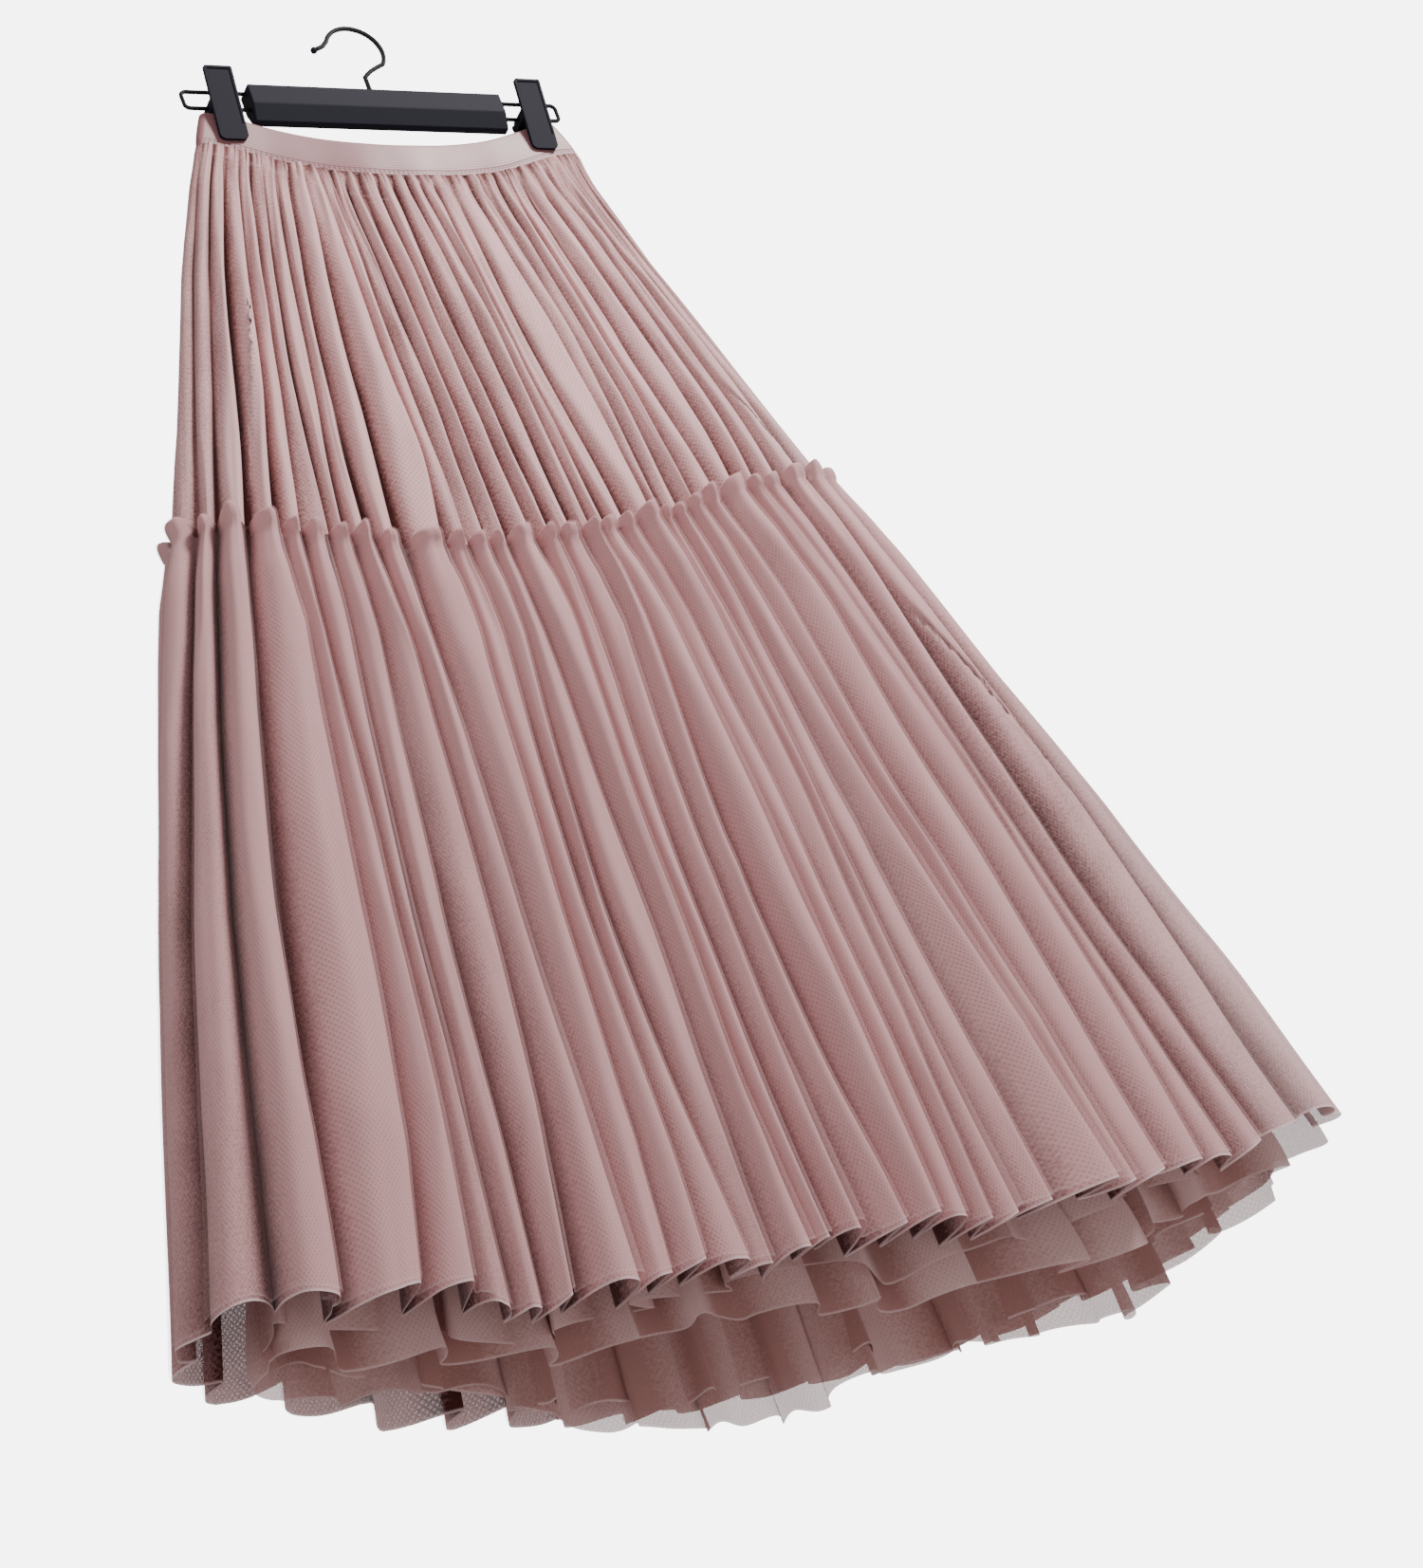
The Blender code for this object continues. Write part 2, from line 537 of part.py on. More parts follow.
def rail_loop(name, side, surface):
    """The wire loop that a clip slides on: out of the bar, round two corners and back."""
    outer = RAIL_END - RAIL_WIRE / 2
    top = RAIL_TOP
    low = RAIL_TOP - RAIL_DROP
    start = BAR_HALF_LENGTH + SEAM_GAP
    points = [(start, top), (outer - RAIL_CORNER, top)]
    corners = [(outer - RAIL_CORNER, top - RAIL_CORNER, 90), (outer - RAIL_CORNER, low + RAIL_CORNER, 0)]
    for x, z, first in corners:
        for turn in (22.5, 45.0, 67.5, 90.0):
            angle = math.radians(first - turn)
            points.append((x + RAIL_CORNER * math.cos(angle), z + RAIL_CORNER * math.sin(angle)))
    points.append((start, low))
    wire(name, [(side * x, 0.0, z) for x, z in points], RAIL_WIRE, surface)


def clip_plate(name, side, facing, surface):
    """One jaw: a moulded plate with a sunk panel, leaning in to the band at its foot.

    facing is -1 for the front jaw and 1 for the back one.
    """
    height = CLIP_TOP - CLIP_FOOT
    half = CLIP_WIDTH / 2
    bm = bmesh.new()
    corners = [(-half, 0.0), (half, 0.0), (half, height), (-half, height)]
    face = bm.faces.new([bm.verts.new((x, 0.0, z)) for x, z in corners])
    grown = bmesh.ops.extrude_face_region(bm, geom=[face])
    moved = [item for item in grown["geom"] if isinstance(item, bmesh.types.BMVert)]
    bmesh.ops.translate(bm, verts=moved, vec=(0.0, facing * CLIP_PLATE, 0.0))
    bmesh.ops.recalc_face_normals(bm, faces=bm.faces[:])
    uprights = [e for e in bm.edges if abs(e.verts[0].co.y - e.verts[1].co.y) > CLIP_PLATE / 2]
    bmesh.ops.bevel(
        bm, geom=uprights, offset=CLIP_CORNER, segments=3, profile=0.5, affect="EDGES", material=-1
    )
    outside = max(bm.faces, key=lambda f: f.normal.y * facing)
    bmesh.ops.inset_region(bm, faces=[outside], thickness=CLIP_RIM, depth=0.0)
    bmesh.ops.inset_region(bm, faces=[outside], thickness=CLIP_RECESS, depth=-CLIP_RECESS)
    lean = Matrix.Rotation(-facing * math.atan2(CLIP_TOP_GAP - BAND_END_DEPTH, height), 3, "X")
    bmesh.ops.rotate(bm, verts=bm.verts[:], cent=(0.0, 0.0, 0.0), matrix=lean)
    jaw = Vector((side * CLIP_X, facing * (BAND_END_DEPTH + 2 * SEAM_GAP), CLIP_FOOT))
    bmesh.ops.translate(bm, verts=bm.verts[:], vec=jaw)
    bmesh.ops.triangulate(bm, faces=bm.faces[:])
    data = bpy.data.meshes.new(name)
    bm.to_mesh(data)
    bm.free()
    add_object(name, data, surface)


def clip_hub(name, side, surface):
    """The block between the two plates and the two wires that the plates turn on."""
    low = RAIL_TOP - RAIL_DROP + RAIL_WIRE / 2 + SEAM_GAP
    high = RAIL_TOP - RAIL_WIRE / 2 - SEAM_GAP
    lean = (CLIP_TOP_GAP - BAND_END_DEPTH) / (CLIP_TOP - CLIP_FOOT)
    profile = []
    for z in (low, high):
        depth = BAND_END_DEPTH + lean * (z - CLIP_FOOT)
        profile += [(-depth, z), (depth, z)] if z == low else [(depth, z), (-depth, z)]
    reach = CLIP_WIDTH / 2 - HUB_INSET
    data = extruded(name, profile, side * CLIP_X - reach, side * CLIP_X + reach, HUB_BEVEL)
    add_object(name, data, surface)


def main():
    clear_scene()
    upper_net = material("upper_tulle", NET_COLOUR, 0.85, 0.0)
    lower_net = material("lower_tulle", NET_COLOUR, 0.85, 0.0)
    under = material("under_tulle", UNDER_COLOUR, 0.85, 0.0)
    band = material("band", BAND_COLOUR, 0.55, 0.0)
    plastic = material("plastic", PLASTIC_COLOUR, 0.5, 0.0)
    metal = material("black_wire", WIRE_COLOUR, 0.3, 1.0)
    add_object("waistband", waistband(), band)
    add_object("upper_tier", upper_tier(), upper_net)
    add_object("lower_tier", lower_tier(), lower_net)
    add_object("under_layer", under_layer(), under)
    hook_and_tip(metal, plastic)
    bar(plastic)
    for word, side in (("left", -1), ("right", 1)):
        rail_loop(f"rail_{word}", side, metal)
        clip_plate(f"clip_{word}_front", side, -1, plastic)
        clip_plate(f"clip_{word}_back", side, 1, plastic)
        clip_hub(f"clip_{word}_hub", side, plastic)


main()
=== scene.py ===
"""The looks of a two-tier tulle skirt on a clip hanger: gathered net cloth, satin band, black hanger.

Frame: metres, +Z up, the front faces -Y, the origin is the inside top of the hanger's hook. Around the
skirt, a place is a share of one turn from the right end (+X) through the front to the left end, 0.5, and
back along the back. Down the cloth, a slant is the length of cloth below the waistband.
"""
import math

import bmesh
import bpy
import numpy as np
from mathutils import Matrix, Vector


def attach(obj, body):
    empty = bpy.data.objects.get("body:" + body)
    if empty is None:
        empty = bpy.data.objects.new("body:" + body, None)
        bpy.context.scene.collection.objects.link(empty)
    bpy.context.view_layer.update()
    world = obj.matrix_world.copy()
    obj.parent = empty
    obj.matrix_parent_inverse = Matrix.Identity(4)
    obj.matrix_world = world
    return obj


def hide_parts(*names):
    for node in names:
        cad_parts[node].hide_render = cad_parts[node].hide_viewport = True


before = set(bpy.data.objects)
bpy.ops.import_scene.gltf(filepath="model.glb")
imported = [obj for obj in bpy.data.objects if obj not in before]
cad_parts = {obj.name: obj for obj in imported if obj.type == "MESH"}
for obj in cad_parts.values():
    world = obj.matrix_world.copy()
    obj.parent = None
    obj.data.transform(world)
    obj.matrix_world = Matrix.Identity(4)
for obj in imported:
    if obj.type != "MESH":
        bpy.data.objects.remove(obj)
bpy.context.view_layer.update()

# ---- the skirt's own sizes, as in its solids -----------------------------------------------------
BAND_HEIGHT = 0.028
BAND_TOP_HALF_WIDTH = 0.1400
BAND_HALF_WIDTH = 0.1500
BAND_END_DEPTH = 0.0032
BAND_MID_DEPTH = 0.0120
BAND_BULGE_HALF_WIDTH = 0.1060
BAND_END_Z = -0.1165
BAND_SAG = 0.0330
SAG_HALF_SPAN = 0.1350
SAG_EASE = 0.12
WAIST_END_DEPTH = 0.0042
HEM_HALF_WIDTH = 0.3930
HEM_END_DEPTH = 0.0560
HEM_MID_DEPTH = 0.0740
CLOTH_LENGTH = 0.8840
TIER_SEAM = 0.3330
HEADING_LIFT = 0.0080
HEADING_DIP = 0.0015
NET_WALL = 0.0012
LAP_GAP = 0.0005
BACK_FOLDS = 22
FULL_FOLD_SHARE = 0.0170
NARROWEST_FOLD = 0.3
WIDEST_FOLD = 1.3
DEEPEST_VALLEY = 1.0
CALM_FROM = 0.86
UNDER_FOLDS = 26
OUTLINE_POINTS = 4000
SEAM_GAP = 0.0003

# ---- the clips' sizes, as in their solids ----------------------------------------------------------
CLIP_X = 0.1225
CLIP_WIDTH = 0.0210
CLIP_TOP = -0.0545
CLIP_FOOT = -0.1140
CLIP_PLATE = 0.0030
CLIP_TOP_GAP = 0.0130
CLIP_RECESS = 0.0008
CLIP_FOOT_CORNER = 0.0040
# The rest of the front jaw is finer than its solid, and the block behind it sits lower.
CLIP_RIM = 0.0018
CLIP_TOP_CORNER = 0.0016
CLIP_LIP = 0.0110
CLIP_FRONT_EDGE = 0.0005
CLIP_BACK_EDGE = 0.0007
PIVOT_Z = -0.0815
PIVOT_HEIGHT = 0.0080
PIVOT_WIDTH = 0.0180

# ---- how finely the cloth is made ---------------------------------------------------------------
STEPS_PER_FOLD = 24
STEPS_PER_UNDER_FOLD = 24
UPPER_ROWS = 56
LOWER_ROWS = 70
UNDER_ROWS = 52
HEAD_ROWS = 9
BAND_COLUMNS = 900
BAND_STITCHES = 170

# ---- how the cloth hangs -----------------------------------------------------------------------------
# One seed for each uneven thing.
SEEDS = {
    "band": 4, "upper tier": 11, "heads": 19, "lower tier": 23, "outer ply": 29,
    "under layer": 31, "inner layer": 37, "short layer": 41, "hem": 43,
}
# How far the folds lie over to the side, as a share of a fold's width, and how much of that they lose at
# the skirt's two ends.
UPPER_LEAN = 0.16
LOWER_LEAN = 0.30
UNDER_LEAN = 0.90
UPRIGHT_AT_ENDS = 0.8
# How full a ridge is beside its valleys: a higher number is a broader ridge with narrower valleys.
TIER_FULLNESS = 2.7
UNDER_FULLNESS = 1.7
HEAD_FULLNESS = 6.0
# How far out the cloth stands past a fold's own depth where it counts as fully on its ridge, painted fully
# lit.
CREST_MARGIN = 0.0015
# The little pleats fade over the first length below the gathers, and the folds are even in the second,
# next to the tier seam.
GATHER_FADE = 0.12
EVEN_AT_SEAM = 0.07
# The depths of the pleats and of the longer creases.
UPPER_PLEAT = 0.0021
UPPER_CREASE = 0.0011
LOWER_PLEAT = 0.0016
LOWER_CREASE = 0.0015
# The upper tier's foot runs on behind the seam. Its puckers stand just below the waistband, and the gaps
# between them get painted shade.
UPPER_OVERLAP = 0.0040
PUCKER_SLANT = 0.0060
PUCKER_REACH = 0.0070
PUCKER_DEPTH = 0.0024
PUCKER_SHADE = 0.0090
# The stitches of the tier seam, on the foot of the upper tier, and the heads over it.
SEAM_STITCHES = 0.3325
HEAD_PUFF = 0.0040
HEAD_PUCKER = 0.0013
SHORTEST_HEAD = 0.35
TALLEST_HEAD = 1.00
# The outer ply of the lower tier: how far out it lies, and how deep its valleys are beside those under
# it, less than nothing where it bridges them. It has narrow folds of its own, and its hem is higher by
# this many times how far out it lies.
VEIL_OUT = 0.0016
VEIL_VALLEY_SHARE = -0.25
VEIL_FOLDS = 67
VEIL_FOLD_DEPTH = 0.0045
VEIL_HEM_RISE = 1.5
# The hems: how uneven they are, and where that comes in: from a slant and over a length of cloth on the
# lower tier, and over the last share of their length on the layers inside it.
HEM_WAVE = 0.006
HEM_NICKS = 0.002
HEM_FROM = 0.80
HEM_REACH = 0.08
UNDER_HEM_WAVE = 0.012
UNDER_HEM_NICKS = 0.003
UNDER_HEM_RUFFLE = 0.005
UNDER_HEM_REACH = 0.20
# The waistband is sewn down this far up from its foot, in a groove this wide, both as shares of its height.
SEWN_AT = 0.09
SEWN_WIDTH = 0.035
STITCH_PULL = 0.0006
BAND_RIPPLE = 0.0005

# The valleys between the front's folds, from the skirt's left end, 0, to its right end, 100, at the
# waist, halfway down the upper tier, at the tier seam, halfway down the lower tier and at the hem.
# depth is how deep the fold on the valley's left is, as a share of its ring's folds.
FRONT_FOLDS = [
    {"waist": 1.5, "hip": 2.5, "seam": 4.0, "shin": 3.0, "hem": 2.5, "depth": 0.9},
    {"waist": 4.5, "hip": 5.5, "seam": 6.5, "shin": 6.5, "hem": 7.5, "depth": 0.8},
    {"waist": 7.0, "hip": 8.5, "seam": 10.0, "shin": 10.5, "hem": 11.0, "depth": 1.1},
    {"waist": 10.0, "hip": 12.0, "seam": 13.5, "shin": 16.0, "hem": 16.0, "depth": 1.2},
    {"waist": 12.5, "hip": 14.5, "seam": 16.0, "shin": 19.0, "hem": 20.0, "depth": 1.1},
    {"waist": 15.0, "hip": 17.0, "seam": 19.0, "shin": 21.0, "hem": 22.0, "depth": 0.8},
    {"waist": 18.0, "hip": 19.5, "seam": 21.5, "shin": 23.5, "hem": 24.0, "depth": 1.0},
    {"waist": 20.5, "hip": 22.0, "seam": 24.5, "shin": 27.0, "hem": 26.5, "depth": 1.0},
    {"waist": 23.5, "hip": 26.0, "seam": 28.0, "shin": 29.5, "hem": 30.0, "depth": 1.1},
    {"waist": 26.5, "hip": 31.0, "seam": 33.0, "shin": 33.0, "hem": 32.5, "depth": 1.1},
    {"waist": 30.0, "hip": 33.5, "seam": 35.5, "shin": 35.5, "hem": 35.0, "depth": 1.1},
    {"waist": 33.0, "hip": 36.5, "seam": 38.0, "shin": 37.5, "hem": 38.0, "depth": 0.9},
    {"waist": 36.5, "hip": 39.5, "seam": 40.5, "shin": 40.0, "hem": 40.5, "depth": 1.0},
    {"waist": 40.5, "hip": 42.5, "seam": 44.5, "shin": 43.0, "hem": 43.5, "depth": 1.2},
    {"waist": 44.0, "hip": 46.0, "seam": 47.5, "shin": 45.5, "hem": 45.5, "depth": 0.9},
    {"waist": 47.5, "hip": 49.5, "seam": 50.5, "shin": 48.0, "hem": 47.5, "depth": 0.9},
    {"waist": 51.0, "hip": 52.0, "seam": 53.0, "shin": 51.0, "hem": 50.5, "depth": 1.1},
    {"waist": 54.5, "hip": 54.5, "seam": 56.0, "shin": 55.0, "hem": 53.5, "depth": 1.2},
    {"waist": 59.0, "hip": 58.5, "seam": 59.0, "shin": 57.5, "hem": 55.5, "depth": 0.9},
    {"waist": 64.0, "hip": 64.0, "seam": 63.5, "shin": 60.0, "hem": 57.5, "depth": 1.1},
    {"waist": 68.5, "hip": 67.5, "seam": 65.5, "shin": 62.0, "hem": 60.0, "depth": 0.8},
    {"waist": 72.5, "hip": 70.5, "seam": 68.0, "shin": 64.5, "hem": 62.5, "depth": 0.8},
    {"waist": 76.0, "hip": 74.0, "seam": 70.5, "shin": 68.5, "hem": 67.5, "depth": 1.2},
    {"waist": 79.5, "hip": 77.5, "seam": 74.5, "shin": 71.5, "hem": 70.5, "depth": 1.1},
    {"waist": 83.5, "hip": 83.0, "seam": 79.5, "shin": 75.5, "hem": 74.0, "depth": 1.1},
    {"waist": 87.0, "hip": 87.0, "seam": 82.5, "shin": 80.0, "hem": 77.5, "depth": 1.0},
    {"waist": 90.5, "hip": 90.0, "seam": 86.5, "shin": 82.5, "hem": 81.0, "depth": 0.9},
    {"waist": 93.5, "hip": 92.5, "seam": 91.0, "shin": 86.0, "hem": 84.5, "depth": 1.0},
    {"waist": 96.5, "hip": 96.0, "seam": 94.5, "shin": 91.0, "hem": 89.5, "depth": 0.9},
    {"waist": 99.0, "hip": 99.0, "seam": 98.0, "shin": 95.5, "hem": 94.5, "depth": 0.8},
]
WIDTH_WAVES = [
    {"turns": 5, "share": 0.14, "start": 0.6},
    {"turns": 13, "share": 0.13, "start": 2.1},
]
DEPTH_WAVES = [
    {"turns": 9, "share": 0.14, "start": 1.0},
    {"turns": 19, "share": 0.11, "start": 2.2},
]
# One row for each ring of the solids. fold is how far folds stand to either side of the cloth, round is
# how much their outside is widened, calm is the share of depth lost at the skirt's two ends, and left
# and right are how far those ends stand out.
UPPER_RINGS = [
    {"slant": 0.0003, "fold": 0.0013, "round": 0.00, "calm": 0.5, "left": 0.000, "right": 0.000},
    {"slant": 0.0350, "fold": 0.0030, "round": 0.08, "calm": 0.6, "left": 0.004, "right": -0.006},
    {"slant": 0.1150, "fold": 0.0060, "round": 0.08, "calm": 0.6, "left": 0.009, "right": -0.009},
    {"slant": 0.2250, "fold": 0.0078, "round": 0.10, "calm": 0.6, "left": 0.012, "right": -0.007},
    {"slant": 0.3330, "fold": 0.0062, "round": 0.02, "calm": 0.5, "left": 0.016, "right": -0.003},
]
LOWER_RINGS = [
    {"slant": 0.3400, "fold": 0.0062, "round": 0.02, "calm": 0.5, "left": 0.016, "right": -0.002},
    {"slant": 0.3750, "fold": 0.0094, "round": 0.10, "calm": 0.4, "left": 0.017, "right": 0.000},
    {"slant": 0.4900, "fold": 0.0116, "round": 0.10, "calm": 0.4, "left": 0.017, "right": 0.009},
    {"slant": 0.6300, "fold": 0.0134, "round": 0.10, "calm": 0.4, "left": 0.014, "right": 0.018},
    {"slant": 0.7700, "fold": 0.0150, "round": 0.10, "calm": 0.4, "left": 0.007, "right": 0.018},
    {"slant": 0.8840, "fold": 0.0160, "round": 0.10, "calm": 0.4, "left": 0.002, "right": 0.014},
]
# How much the gathers at the tier seam fill out the folds below them.
SEAM_PUFFS = [
    {"slant": 0.375, "puff": 0.0045},
    {"slant": 0.490, "puff": 0.0015},
    {"slant": 0.630, "puff": 0.0000},
]
UNDER_RINGS = [
    {"slant": 0.3420, "half_width": 0.2270, "end_depth": 0.0080, "mid_depth": 0.0200, "fold": 0.0007},
    {"slant": 0.5000, "half_width": 0.2620, "end_depth": 0.0095, "mid_depth": 0.0225, "fold": 0.0036},
    {"slant": 0.7000, "half_width": 0.3150, "end_depth": 0.0150, "mid_depth": 0.0300, "fold": 0.0055},
    {"slant": 0.8880, "half_width": 0.3600, "end_depth": 0.0210, "mid_depth": 0.0385, "fold": 0.0085},
]
# How far the cloth is lifted at its edges, from the left end, -1, to the right end, 1.
EDGE_LIFTS = [
    {"side": -1.0, "seam": -0.008, "front_hem": 0.004, "back_hem": 0.000},
    {"side": -0.6, "seam": -0.005, "front_hem": 0.010, "back_hem": -0.004},
    {"side": -0.3, "seam": -0.004, "front_hem": 0.028, "back_hem": -0.003},
    {"side": 0.0, "seam": 0.003, "front_hem": 0.031, "back_hem": 0.000},
    {"side": 0.3, "seam": 0.011, "front_hem": 0.025, "back_hem": -0.006},
    {"side": 0.6, "seam": 0.020, "front_hem": 0.015, "back_hem": -0.015},
    {"side": 0.8, "seam": 0.016, "front_hem": 0.004, "back_hem": -0.016},
    {"side": 1.0, "seam": 0.012, "front_hem": 0.004, "back_hem": -0.005},
]

# ---- the cuts, in metres of flat cloth -----------------------------------------------------------
BAND_CUT = (0.640, BAND_HEIGHT)
UPPER_CUT = (1.850, TIER_SEAM)
LOWER_CUT = (3.960, CLOTH_LENGTH - TIER_SEAM + 0.020)
VEIL_CUT = (3.250, LOWER_CUT[1])
# The layers inside are cut flared: the width here is their hem's, and their tops are this much of it.
UNDER_CUT = (2.150, 0.552)
INNER_CUT = (2.160, 0.570)
SHORT_CUT = (2.000, 0.503)
# The slants of those layers' hems, and how far two of them are drawn in from the under-layer's solid.
UNDER_FOOT = 0.8880
INNER_FOOT = 0.9050
SHORT_FOOT = 0.8380
INNER_SHRINK = 0.004
SHORT_SHRINK = -0.003


# ---- cloth form ------------------------------------------------------------------------------------
def flat_oval(half_width, end_depth, mid_depth, bulge_half_width):
    """A flattened ring seen from above, by equal steps along its edge, from +X through the front (-Y)."""
    straight = half_width - end_depth
    quarter = OUTLINE_POINTS // 4
    end_angle = np.linspace(0.0, math.pi / 2, quarter)
    end_x = straight + end_depth * np.cos(end_angle)
    end_y = -end_depth * np.sin(end_angle)
    side_x = np.linspace(straight, 0.0, quarter)[1:]
    bulge = np.cos(math.pi / 2 * np.clip(side_x / bulge_half_width, 0.0, 1.0)) ** 2
    side_y = -(end_depth + (mid_depth - end_depth) * bulge)
    front_right = np.column_stack([np.concatenate([end_x, side_x]), np.concatenate([end_y, side_y])])
    front_left = front_right[::-1][1:] * (-1.0, 1.0)
    front = np.vstack([front_right, front_left])
    back = front[::-1][1:] * (1.0, -1.0)
    outline = np.vstack([front, back])
    steps = np.linalg.norm(np.diff(outline, axis=0), axis=1)
    along = np.concatenate([[0.0], np.cumsum(steps)])
    wanted = np.linspace(0.0, along[-1], OUTLINE_POINTS, endpoint=False)
    return np.column_stack([np.interp(wanted, along, outline[:, axis]) for axis in (0, 1)])


def sag(x):
    """How far the waistband hangs down between its two clips, easing out level under each clip."""
    hang = np.cos(math.pi / 2 * x / SAG_HALF_SPAN)
    return BAND_SAG * (hang + np.sqrt(hang**2 + SAG_EASE**2)) / 2


WAIST = flat_oval(BAND_HALF_WIDTH, WAIST_END_DEPTH, BAND_MID_DEPTH, BAND_BULGE_HALF_WIDTH)
HEM = flat_oval(HEM_HALF_WIDTH, HEM_END_DEPTH, HEM_MID_DEPTH, HEM_HALF_WIDTH)


def side_of(flat):
    """Where each point of a ring lies from its left end, -1, to its right end, 1."""
    x = flat[:, 0]
    return x / np.where(x < 0, -x.min(), x.max())


def edge_lift(slant, flat):
    """How far the cloth is lifted at one slant: nothing at the waist, then the table's amounts."""
    sides = [row["side"] for row in EDGE_LIFTS]
    lifts = {}
    for edge in ("seam", "front_hem", "back_hem"):
        lifts[edge] = np.interp(side_of(flat), sides, [row[edge] for row in EDGE_LIFTS])
    hem = np.where(flat[:, 1] < 0, lifts["front_hem"], lifts["back_hem"])
    if slant <= TIER_SEAM:
        return lifts["seam"] * slant / TIER_SEAM
    share = (slant - TIER_SEAM) / (CLOTH_LENGTH - TIER_SEAM)
    return lifts["seam"] + (hem - lifts["seam"]) * share


def cloth_line(slant, left=0.0, right=0.0):
    """The cloth's middle surface at one slant: flat points around the skirt and their heights."""
    share = slant / CLOTH_LENGTH
    flat = WAIST + (HEM - WAIST) * share
    side = side_of(flat)
    flat[:, 0] += side * np.where(side < 0, left, right)
    run = np.linalg.norm(HEM - WAIST, axis=1)
    drop = np.sqrt(CLOTH_LENGTH**2 - run**2)
    return flat, BAND_END_Z - sag(WAIST[:, 0]) - drop * share + edge_lift(slant, flat)


def sample_ring(values, places):
    """Reads values kept at equal steps of a closed ring at any places around it."""
    place = (places % 1.0) * OUTLINE_POINTS
    low = place.astype(int) % OUTLINE_POINTS
    high = (low + 1) % OUTLINE_POINTS
    mix = place - np.floor(place)
    if values.ndim > 1:
        mix = mix[:, None]
    return values[low] * (1 - mix) + values[high] * mix


def wavy(around):
    """Places around a ring moved by the width waves, and the depth waves' share at each of them."""
    moved = np.array(around, dtype=float)
    depth = np.ones(len(moved))
    for wave in WIDTH_WAVES:
        angle = 2 * math.pi * wave["turns"] * around + wave["start"]
        moved += wave["share"] / (2 * math.pi * wave["turns"]) * np.sin(angle)
    for wave in DEPTH_WAVES:
        depth += wave["share"] * np.sin(2 * math.pi * wave["turns"] * around + wave["start"])
    return moved, depth


def tier_valleys(slant):
    """The places around the ring of every valley at one slant, and the depth of each fold."""
    if slant <= TIER_SEAM:
        names = ("waist", "hip", "seam")
        share = slant / TIER_SEAM
    else:
        names = ("seam", "shin", "hem")
        share = (slant - TIER_SEAM) / (CLOTH_LENGTH - TIER_SEAM)
    weights = ((1 - share) * (1 - 2 * share), 4 * share * (1 - share), share * (2 * share - 1))
    front = []
    for row in reversed(FRONT_FOLDS):
        across = sum(weight * row[name] for weight, name in zip(weights, names))
        front.append(0.5 * (1 - across / 100))
    steps = np.arange(1, BACK_FOLDS) / BACK_FOLDS
    moved, depth = wavy(front[-1] + steps * (1 + front[0] - front[-1]))
    front_depth = [row["depth"] for row in reversed(FRONT_FOLDS[1:])]
    end_depth = FRONT_FOLDS[0]["depth"]
    return np.concatenate([front, moved]), np.concatenate([front_depth, [end_depth], depth])


FOLDS = len(FRONT_FOLDS) + BACK_FOLDS - 1
COLUMNS = FOLDS * STEPS_PER_FOLD


def around_folds(*knots):
    """An amount for each column, from some folds' numbers, counted from the right end, and amounts there."""
    numbers, amounts = zip(*knots)
    return np.interp(np.arange(COLUMNS) / STEPS_PER_FOLD, numbers, amounts)


# The folds stand more upright and shallower round the right end, where the cloth turns, and those of the
# lower tier stand deepest in the middle of the front.
LEAN_SHARE = around_folds((0, 0.15), (7, 1.0), (45, 1.0), (FOLDS, 0.15))
UPPER_SWELL = around_folds((0, 0.6), (5, 1.0), (46, 1.0), (FOLDS, 0.6))
LOWER_SWELL = around_folds(
    (0, 0.55), (3, 0.7), (7, 1.3), (18, 1.3), (23, 1.0), (46, 1.0), (49, 0.7), (FOLDS, 0.55)
)
# The outer ply has its own folds mostly on the front.
VEIL_FOLD_SHARE = around_folds((1, 0.2), (6, 1.0), (26, 1.0), (30, 0.2))


def tier_places(slant):
    """Places around one row of a tier's cloth, and each place's part of its fold, width and depths."""
    valleys, depths = tier_valleys(slant)
    widths = np.diff(np.append(valleys, valleys[0] + 1))
    depths = depths * np.sqrt(np.clip(widths / FULL_FOLD_SHARE, NARROWEST_FOLD, WIDEST_FOLD))
    low = np.minimum((depths + np.roll(depths, 1)) / 2, DEEPEST_VALLEY)
    part = np.tile(np.arange(STEPS_PER_FOLD) / STEPS_PER_FOLD, FOLDS)
    fold = np.repeat(np.arange(FOLDS), STEPS_PER_FOLD)
    valley = low[fold] + (np.roll(low, -1)[fold] - low[fold]) * part
    return valleys[fold] + widths[fold] * part, part, widths[fold], depths[fold], valley


def under_places():
    """The same for the under-layers, whose folds are nearly even."""
    count = UNDER_FOLDS * STEPS_PER_UNDER_FOLD
    around, depth = wavy(np.arange(count) / count)
    part = (np.arange(count) % STEPS_PER_UNDER_FOLD) / STEPS_PER_UNDER_FOLD
    return around, part, np.ones(count) / UNDER_FOLDS, depth, np.minimum(depth, DEEPEST_VALLEY)


def read_rings(rings, slant):
    """One row of a table of rings, worked out at any slant between its rows."""
    slants = [ring["slant"] for ring in rings]
    return {name: float(np.interp(slant, slants, [ring[name] for ring in rings])) for name in rings[0]}


def ring_axes(flat):
    """The directions out of a ring and along it, and the length of two of its steps."""
    along = np.roll(flat, -1, axis=0) - np.roll(flat, 1, axis=0)
    pace = np.linalg.norm(along, axis=1)
    along = along / pace[:, None]
    outward = np.column_stack([along[:, 1], -along[:, 0]])
    return outward * np.sign((outward * flat).sum(axis=1))[:, None], along, pace


def fold_rise(part, fullness):
    """How high the cloth stands across one fold: 0 in its valleys, 1 on a ridge of that fullness."""
    return 1 - np.abs(np.cos(math.pi * part)) ** fullness


